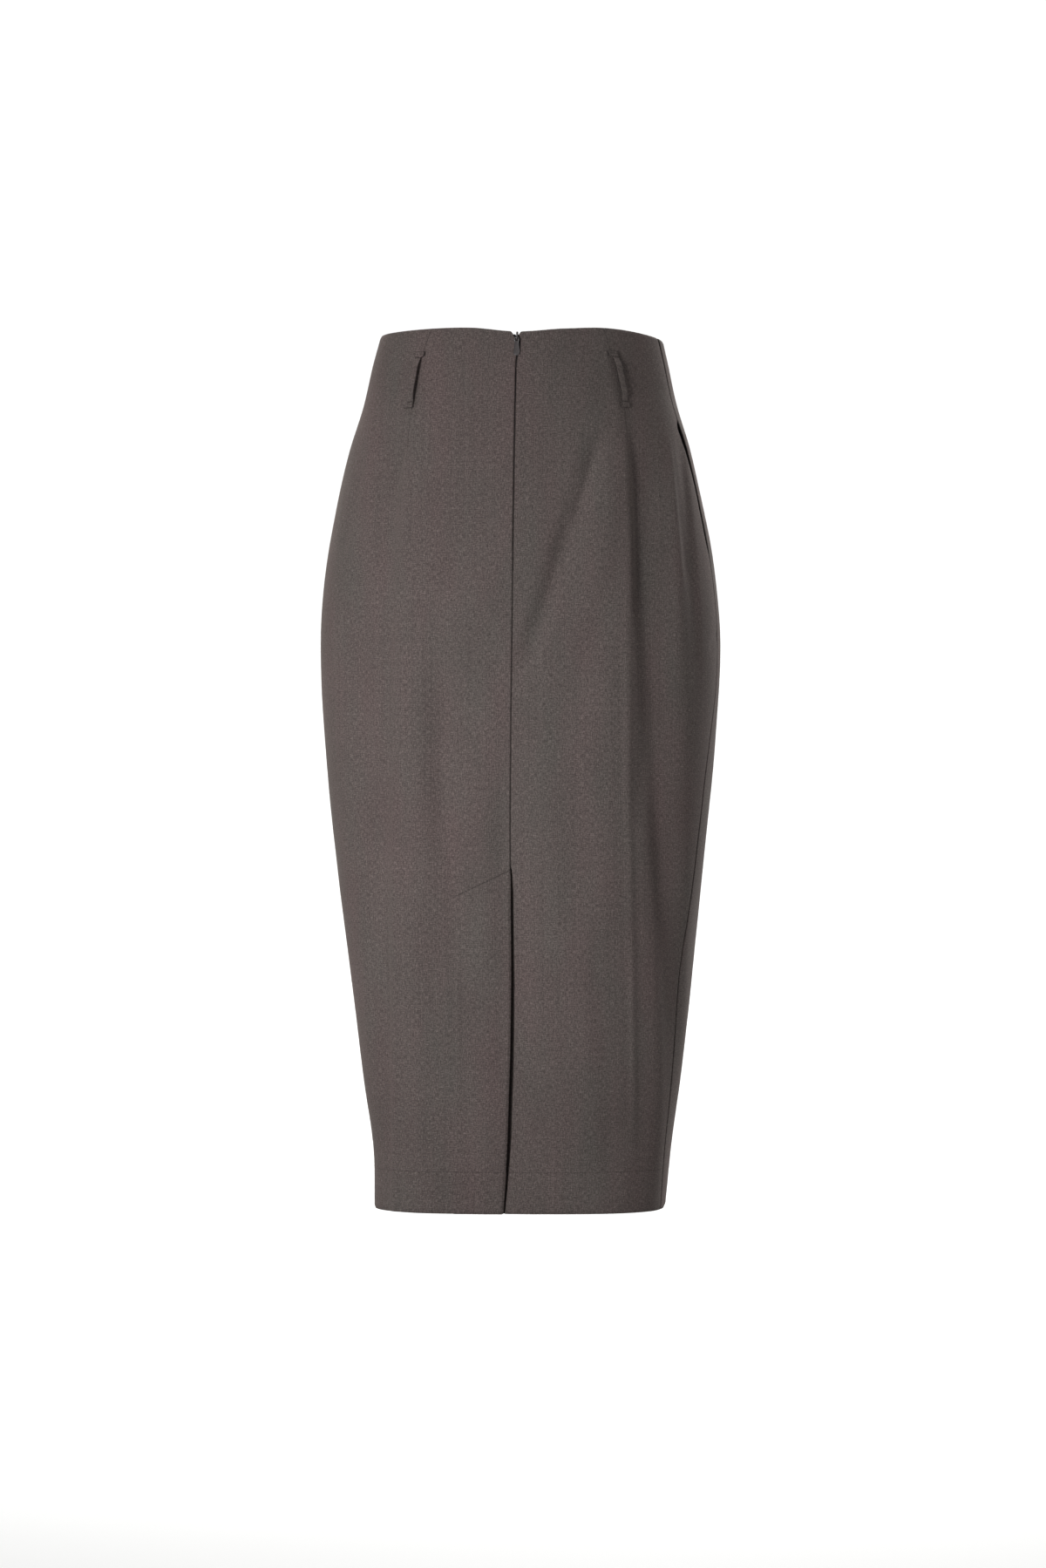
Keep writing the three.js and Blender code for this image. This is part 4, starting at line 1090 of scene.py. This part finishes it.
def zip_pull():
    """The pull tab: a drop-shaped plate with rolled edges, a sunk face, and the slot that the eye passes through."""
    outline = pull_outline()
    middle = np.array([0.0, -1.56])
    rays = 128
    polar = np.linspace(-math.pi, math.pi, rays, endpoint=False)
    rel = outline - middle
    angle = np.arctan2(rel[:, 1], rel[:, 0])
    order = np.argsort(angle)
    rim = np.interp(polar, angle[order], np.linalg.norm(rel, axis=1)[order], period=2 * math.pi)
    slot = np.minimum(0.95 / np.maximum(np.abs(np.cos(polar)), 1e-6), 1.09 / np.maximum(np.abs(np.sin(polar)), 1e-6))
    ray = np.stack([np.cos(polar), np.sin(polar)], -1)
    profile = []
    for inset, high in ((0.0, 0.22), (0.06, 0.38), (0.2, 0.48)):
        profile.append((slot + inset, high))
    far = rim - 0.85
    keep = np.maximum(far, slot + 0.25)
    profile.append((keep, np.where(far > slot + 1.2, 0.36, 0.48)))
    for inset, high in ((0.55, 0.5), (0.22, 0.48), (0.07, 0.36), (0.0, 0.2)):
        profile.append((np.maximum(rim - inset, slot + 0.3), high))
    points = []
    for face in (1, -1):
        for radius, high in (profile if face > 0 else profile[::-1]):
            place = middle + ray * np.asarray(radius)[:, None]
            high = np.broadcast_to(high, (rays,))
            points.append(np.stack([place[:, 0], face * high, place[:, 1]], -1))
    rings = len(points)
    points = np.concatenate(points)
    faces = []
    for r in range(rings):
        for k in range(rays):
            a, b = r * rays + k, r * rays + (k + 1) % rays
            n = (r + 1) % rings
            faces.append((a, n * rays + k, n * rays + (k + 1) % rays, b))
    lean = math.radians(PULL_LEAN)
    turned = np.stack([
        points[:, 0],
        points[:, 1] * math.cos(lean) - points[:, 2] * math.sin(lean),
        points[:, 1] * math.sin(lean) + points[:, 2] * math.cos(lean),
    ], -1)
    return joined("pull_tab_plate", [(turned + pull_axis(), faces)])


def recalculated(thing):
    """Turns a closed mesh's faces outwards."""
    import bmesh
    work = bmesh.new()
    work.from_mesh(thing.data)
    bmesh.ops.recalc_face_normals(work, faces=work.faces)
    work.to_mesh(thing.data)
    work.free()
    return thing


def along_line(s0, z0, s1, z1, out, count=24):
    t = np.linspace(0, 1, count)
    return np.stack([mix(s0, s1, t), mix(z0, z1, t), np.full(count, out)], -1)


def studio():
    """A pale floor that rises all round into a wall, open above."""
    profile = [(0.0, FLOOR_Z), (4.6, FLOOR_Z)]
    profile += [(4.6 + 1.8 * math.sin(a), FLOOR_Z + 1.8 * (1 - math.cos(a))) for a in np.linspace(0.15, math.pi / 2, 10)]
    profile.append((6.4, 5.5))
    around = 96
    points = [(0.0, 0.0, FLOOR_Z)]
    for radius, z in profile[1:]:
        points += [(radius * math.cos(2 * math.pi * k / around), radius * math.sin(2 * math.pi * k / around), z)
                   for k in range(around)]
    faces = [(0, 1 + k, 1 + (k + 1) % around) for k in range(around)]
    for r in range(len(profile) - 2):
        for k in range(around):
            a, b = 1 + r * around + k, 1 + r * around + (k + 1) % around
            faces.append((a, a + around, b + around, b))
    mesh = bpy.data.meshes.new("studio_floor")
    mesh.from_pydata(points, [], faces)
    mesh.polygons.foreach_set("use_smooth", [True] * len(mesh.polygons))
    floor = bpy.data.objects.new("studio_floor", mesh)
    bpy.context.scene.collection.objects.link(floor)
    material, tree, surface = new_material("Matt studio paint", 0.95, Specular_IOR_Level=0.1)
    place = add_node(tree, "ShaderNodeTexCoord").outputs["Object"]
    cloud = add_node(tree, "ShaderNodeTexNoise", {"Vector": place, "Scale": 0.6, "Detail": 2.0}).outputs["Fac"]
    ramp = add_node(tree, "ShaderNodeValToRGB", {"Fac": cloud})
    ramp.color_ramp.elements[0].color = linear("f4f4f3")
    ramp.color_ramp.elements[1].color = linear("f8f8f7")
    tree.links.new(ramp.outputs[0], surface.inputs["Base Color"])
    mesh.materials.append(material)
    # The paint's glow is left out of the cloth's light, so that the folds keep their shade on every side
    floor.visible_diffuse = False


def area_light(name, place, aim, power_watts, width, height, spread=180):
    data = bpy.data.lights.new(name, "AREA")
    data.shape = "RECTANGLE"
    data.size, data.size_y = width, height
    data.energy = power_watts
    data.spread = math.radians(spread)
    light = bpy.data.objects.new(name, data)
    light.location = place
    light.rotation_euler = (Vector(aim) - Vector(place)).to_track_quat("-Z", "Y").to_euler()
    bpy.context.scene.collection.objects.link(light)


def camera():
    azimuth = math.radians(CAMERA_AZIMUTH)
    back = Vector((math.sin(azimuth), -math.cos(azimuth), 0))
    data = bpy.data.cameras.new("camera")
    data.lens = CAMERA_LENS
    data.sensor_width = 36
    thing = bpy.data.objects.new("camera", data)
    thing.location = Vector(CAMERA_AIM) + back * CAMERA_DISTANCE
    thing.rotation_euler = (-back).to_track_quat("-Z", "Y").to_euler()
    bpy.context.scene.collection.objects.link(thing)
    bpy.context.scene.camera = thing


class SkirtSettings(bpy.types.PropertyGroup):
    """Sizes and colours that a user would change."""

    cloth_colour: FloatVectorProperty(
        name="Cloth", description="Middle colour of the mixture", subtype="COLOR", size=4, min=0, max=1,
        default=linear("5d5452"))
    dark_fibre: FloatVectorProperty(
        name="Dark fibres", description="Darkest streaks of the mixture", subtype="COLOR", size=4, min=0, max=1,
        default=linear("3e3735"))
    light_fibre: FloatVectorProperty(
        name="Light fibres", description="Lightest streaks of the mixture", subtype="COLOR", size=4, min=0, max=1,
        default=linear("837773"))
    thread_colour: FloatVectorProperty(
        name="Thread", description="Colour of the sewing thread", subtype="COLOR", size=4, min=0, max=1,
        default=linear("3a3431"))
    yarn_spacing: FloatProperty(
        name="Yarn spacing", description="Distance between two yarns of the weave", unit="LENGTH",
        default=0.45 * MM, min=0.0002, max=0.002)
    stitch_pitch: FloatProperty(
        name="Stitch length", description="Length of one topstitch, in millimetres", default=3.0, min=1.5, max=5)
    key_power: FloatProperty(
        name="Key light", description="Power of the large light at the left, in watts", default=2.6, min=0)


class SKIRT_OT_panels(bpy.types.Operator):
    """Make the two back panels and the front"""

    bl_idname = "skirt.panels"
    bl_label = "Cloth panels"

    def execute(self, context):
        cloth = material_for("suiting")
        left = finish_piece(back_left_panel(), cloth, "suiting", "skirt", "back_left")
        right = finish_piece(back_right_panel(), cloth, "suiting", "skirt", "back_right")
        front = finish_piece(front_panel(), cloth, "suiting", "skirt", "front")
        return {"FINISHED"}


class SKIRT_OT_belt_loops(bpy.types.Operator):
    """Make the four belt loops with their tacks"""

    bl_idname = "skirt.belt_loops"
    bl_label = "Belt loops"

    def execute(self, context):
        cloth, thread = material_for("suiting"), material_for("thread")
        bars = []
        for row in BELT_LOOPS:
            name, top, at, foot, end, head_aside, foot_aside = row
            strap = finish_piece(recalculated(belt_loop(*row)), cloth, "suiting", "skirt", name)
            for z, s in ((top - 2.6, mix(at, end, 0.05) + head_aside), (foot + 2.6, mix(at, end, 0.95) + foot_aside)):
                bars.append(along_line(s - 4.3, z, s + 4.3, z, LOOP_SEAT + LOOP_THICK * 0.8, 12))
        tacks = repeat_along(
            "loop_tacks", bars, thread, pitch=0.62, along=0.4, across=1.7, height=0.5, uneven=0.25)
        finish_piece(tacks, thread, "suiting", "skirt")
        return {"FINISHED"}


class SKIRT_OT_pockets(bpy.types.Operator):
    """Make the two pocket bags behind the side seams"""

    bl_idname = "skirt.pockets"
    bl_label = "Pocket bags"

    def execute(self, context):
        for side, node in ((1, "pocket_bag_left"), (-1, "pocket_bag_right")):
            bag = finish_piece(recalculated(pocket_bag(side)), material_for("pocketing"), "pocketing", "skirt", node)
        return {"FINISHED"}


class SKIRT_OT_zip(bpy.types.Operator):
    """Make the zip's tapes, coil, slider and pull tab"""

    bl_idname = "skirt.zip"
    bl_label = "Concealed zip"

    def execute(self, context):
        tape, metal = material_for("zip_tape"), material_for("zip_metal")
        for side, node in ((1, "zip_tape_left"), (-1, "zip_tape_right")):
            strip = finish_piece(zip_tape(side), tape, "zip_tape", "skirt", node)
        heights = np.linspace(-15, TAPE_FOOT + 3, 90)
        middle = read_straight(BACK_SEAM, "shift", heights)
        coils = [np.stack([middle + side * 1.1, heights, np.full(90, -TAPE_SINK - 1.3)], -1) for side in (1, -1)]
        coil = repeat_along("zip_coil", coils, tape, pitch=1.15, along=0.72, across=2.5, height=1.1, uneven=0.0)
        finish_piece(coil, tape, "zip_tape", "skirt")
        finish_piece(recalculated(zip_slider()), metal, "zip_metal", "skirt", "zip_slider")
        finish_piece(recalculated(zip_pull()), metal, "zip_metal", "pull_tab", "zip_pull")
        return {"FINISHED"}


class SKIRT_OT_stitching(bpy.types.Operator):
    """Sew the head of the vent"""

    bl_idname = "skirt.stitching"
    bl_label = "Topstitching"

    def execute(self, context):
        thread = material_for("thread")
        pitch = context.scene.skirt.stitch_pitch
        head = [along_line(4.6, VENT_TOP - 0.4, 4 + UNDERLAP, VENT_TOP - VENT_SLANT, 0.02)]
        line = repeat_along("vent_stitches", head, thread, pitch=pitch, along=pitch * 0.72, across=0.55, height=0.5,
                            uneven=0.12)
        finish_piece(line, thread, "suiting", "skirt")
        return {"FINISHED"}


class SKIRT_OT_stage(bpy.types.Operator):
    """Set the floor, the lights and the camera"""

    bl_idname = "skirt.stage"
    bl_label = "Studio"

    def execute(self, context):
        studio()
        key = context.scene.skirt.key_power
        area_light("key_light", (0.86, 1.69, -0.36), (0, 0, -0.38), key, 0.7, 0.8, spread=52)
        area_light("side_light", (1.9, 0.3, -0.9), (0, 0, -0.5), key * 0.52, 0.8, 0.8)
        area_light("front_light", (-1.5, -1.5, 0.2), (0, 0, -0.38), key * 0.8, 0.6, 0.7, spread=60)
        area_light("top_light", (0.0, -0.3, 2.6), (0, 0, -0.4), key, 0.8, 0.8, spread=60)
        area_light("floor_light", (0.0, -2.9, 2.9), (0, -2.1, -1.25), 66, 2.6, 1.4, spread=130)
        for side, name in ((1, "backdrop_light_left"), (-1, "backdrop_light_right")):
            area_light(name, (1.9 * side, -3.9, 2.2), (-0.3 * side, -5.8, -0.9), 80, 1.0, 1.0)
        world = bpy.data.worlds.new("studio_air")
        world.use_nodes = True
        world.node_tree.nodes["Background"].inputs[0].default_value = (1.0, 1.0, 1.0, 1.0)
        world.node_tree.nodes["Background"].inputs[1].default_value = 0.24
        context.scene.world = world
        context.scene.view_settings.view_transform = "Standard"
        camera()
        return {"FINISHED"}


class SKIRT_PT_panel(bpy.types.Panel):
    """Lists the skirt's sizes, colours and pieces"""

    bl_label = "Pencil Skirt"
    bl_space_type = "VIEW_3D"
    bl_region_type = "UI"
    bl_category = "Skirt"

    def draw(self, context):
        for name in SkirtSettings.__annotations__:
            self.layout.prop(context.scene.skirt, name)
        for operator in OPERATORS:
            self.layout.operator(operator.bl_idname)


OPERATORS = (
    SKIRT_OT_panels, SKIRT_OT_belt_loops, SKIRT_OT_pockets, SKIRT_OT_zip, SKIRT_OT_stitching, SKIRT_OT_stage,
)
CLASSES = (SkirtSettings, *OPERATORS, SKIRT_PT_panel)


def register():
    for cls in CLASSES:
        bpy.utils.register_class(cls)
    bpy.types.Scene.skirt = PointerProperty(type=SkirtSettings)


def unregister():
    del bpy.types.Scene.skirt
    for cls in reversed(CLASSES):
        bpy.utils.unregister_class(cls)


def main():
    register()
    bpy.ops.skirt.panels()
    bpy.ops.skirt.belt_loops()
    bpy.ops.skirt.pockets()
    bpy.ops.skirt.zip()
    bpy.ops.skirt.stitching()
    bpy.ops.skirt.stage()
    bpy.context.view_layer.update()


if __name__ == "__main__":
    main()
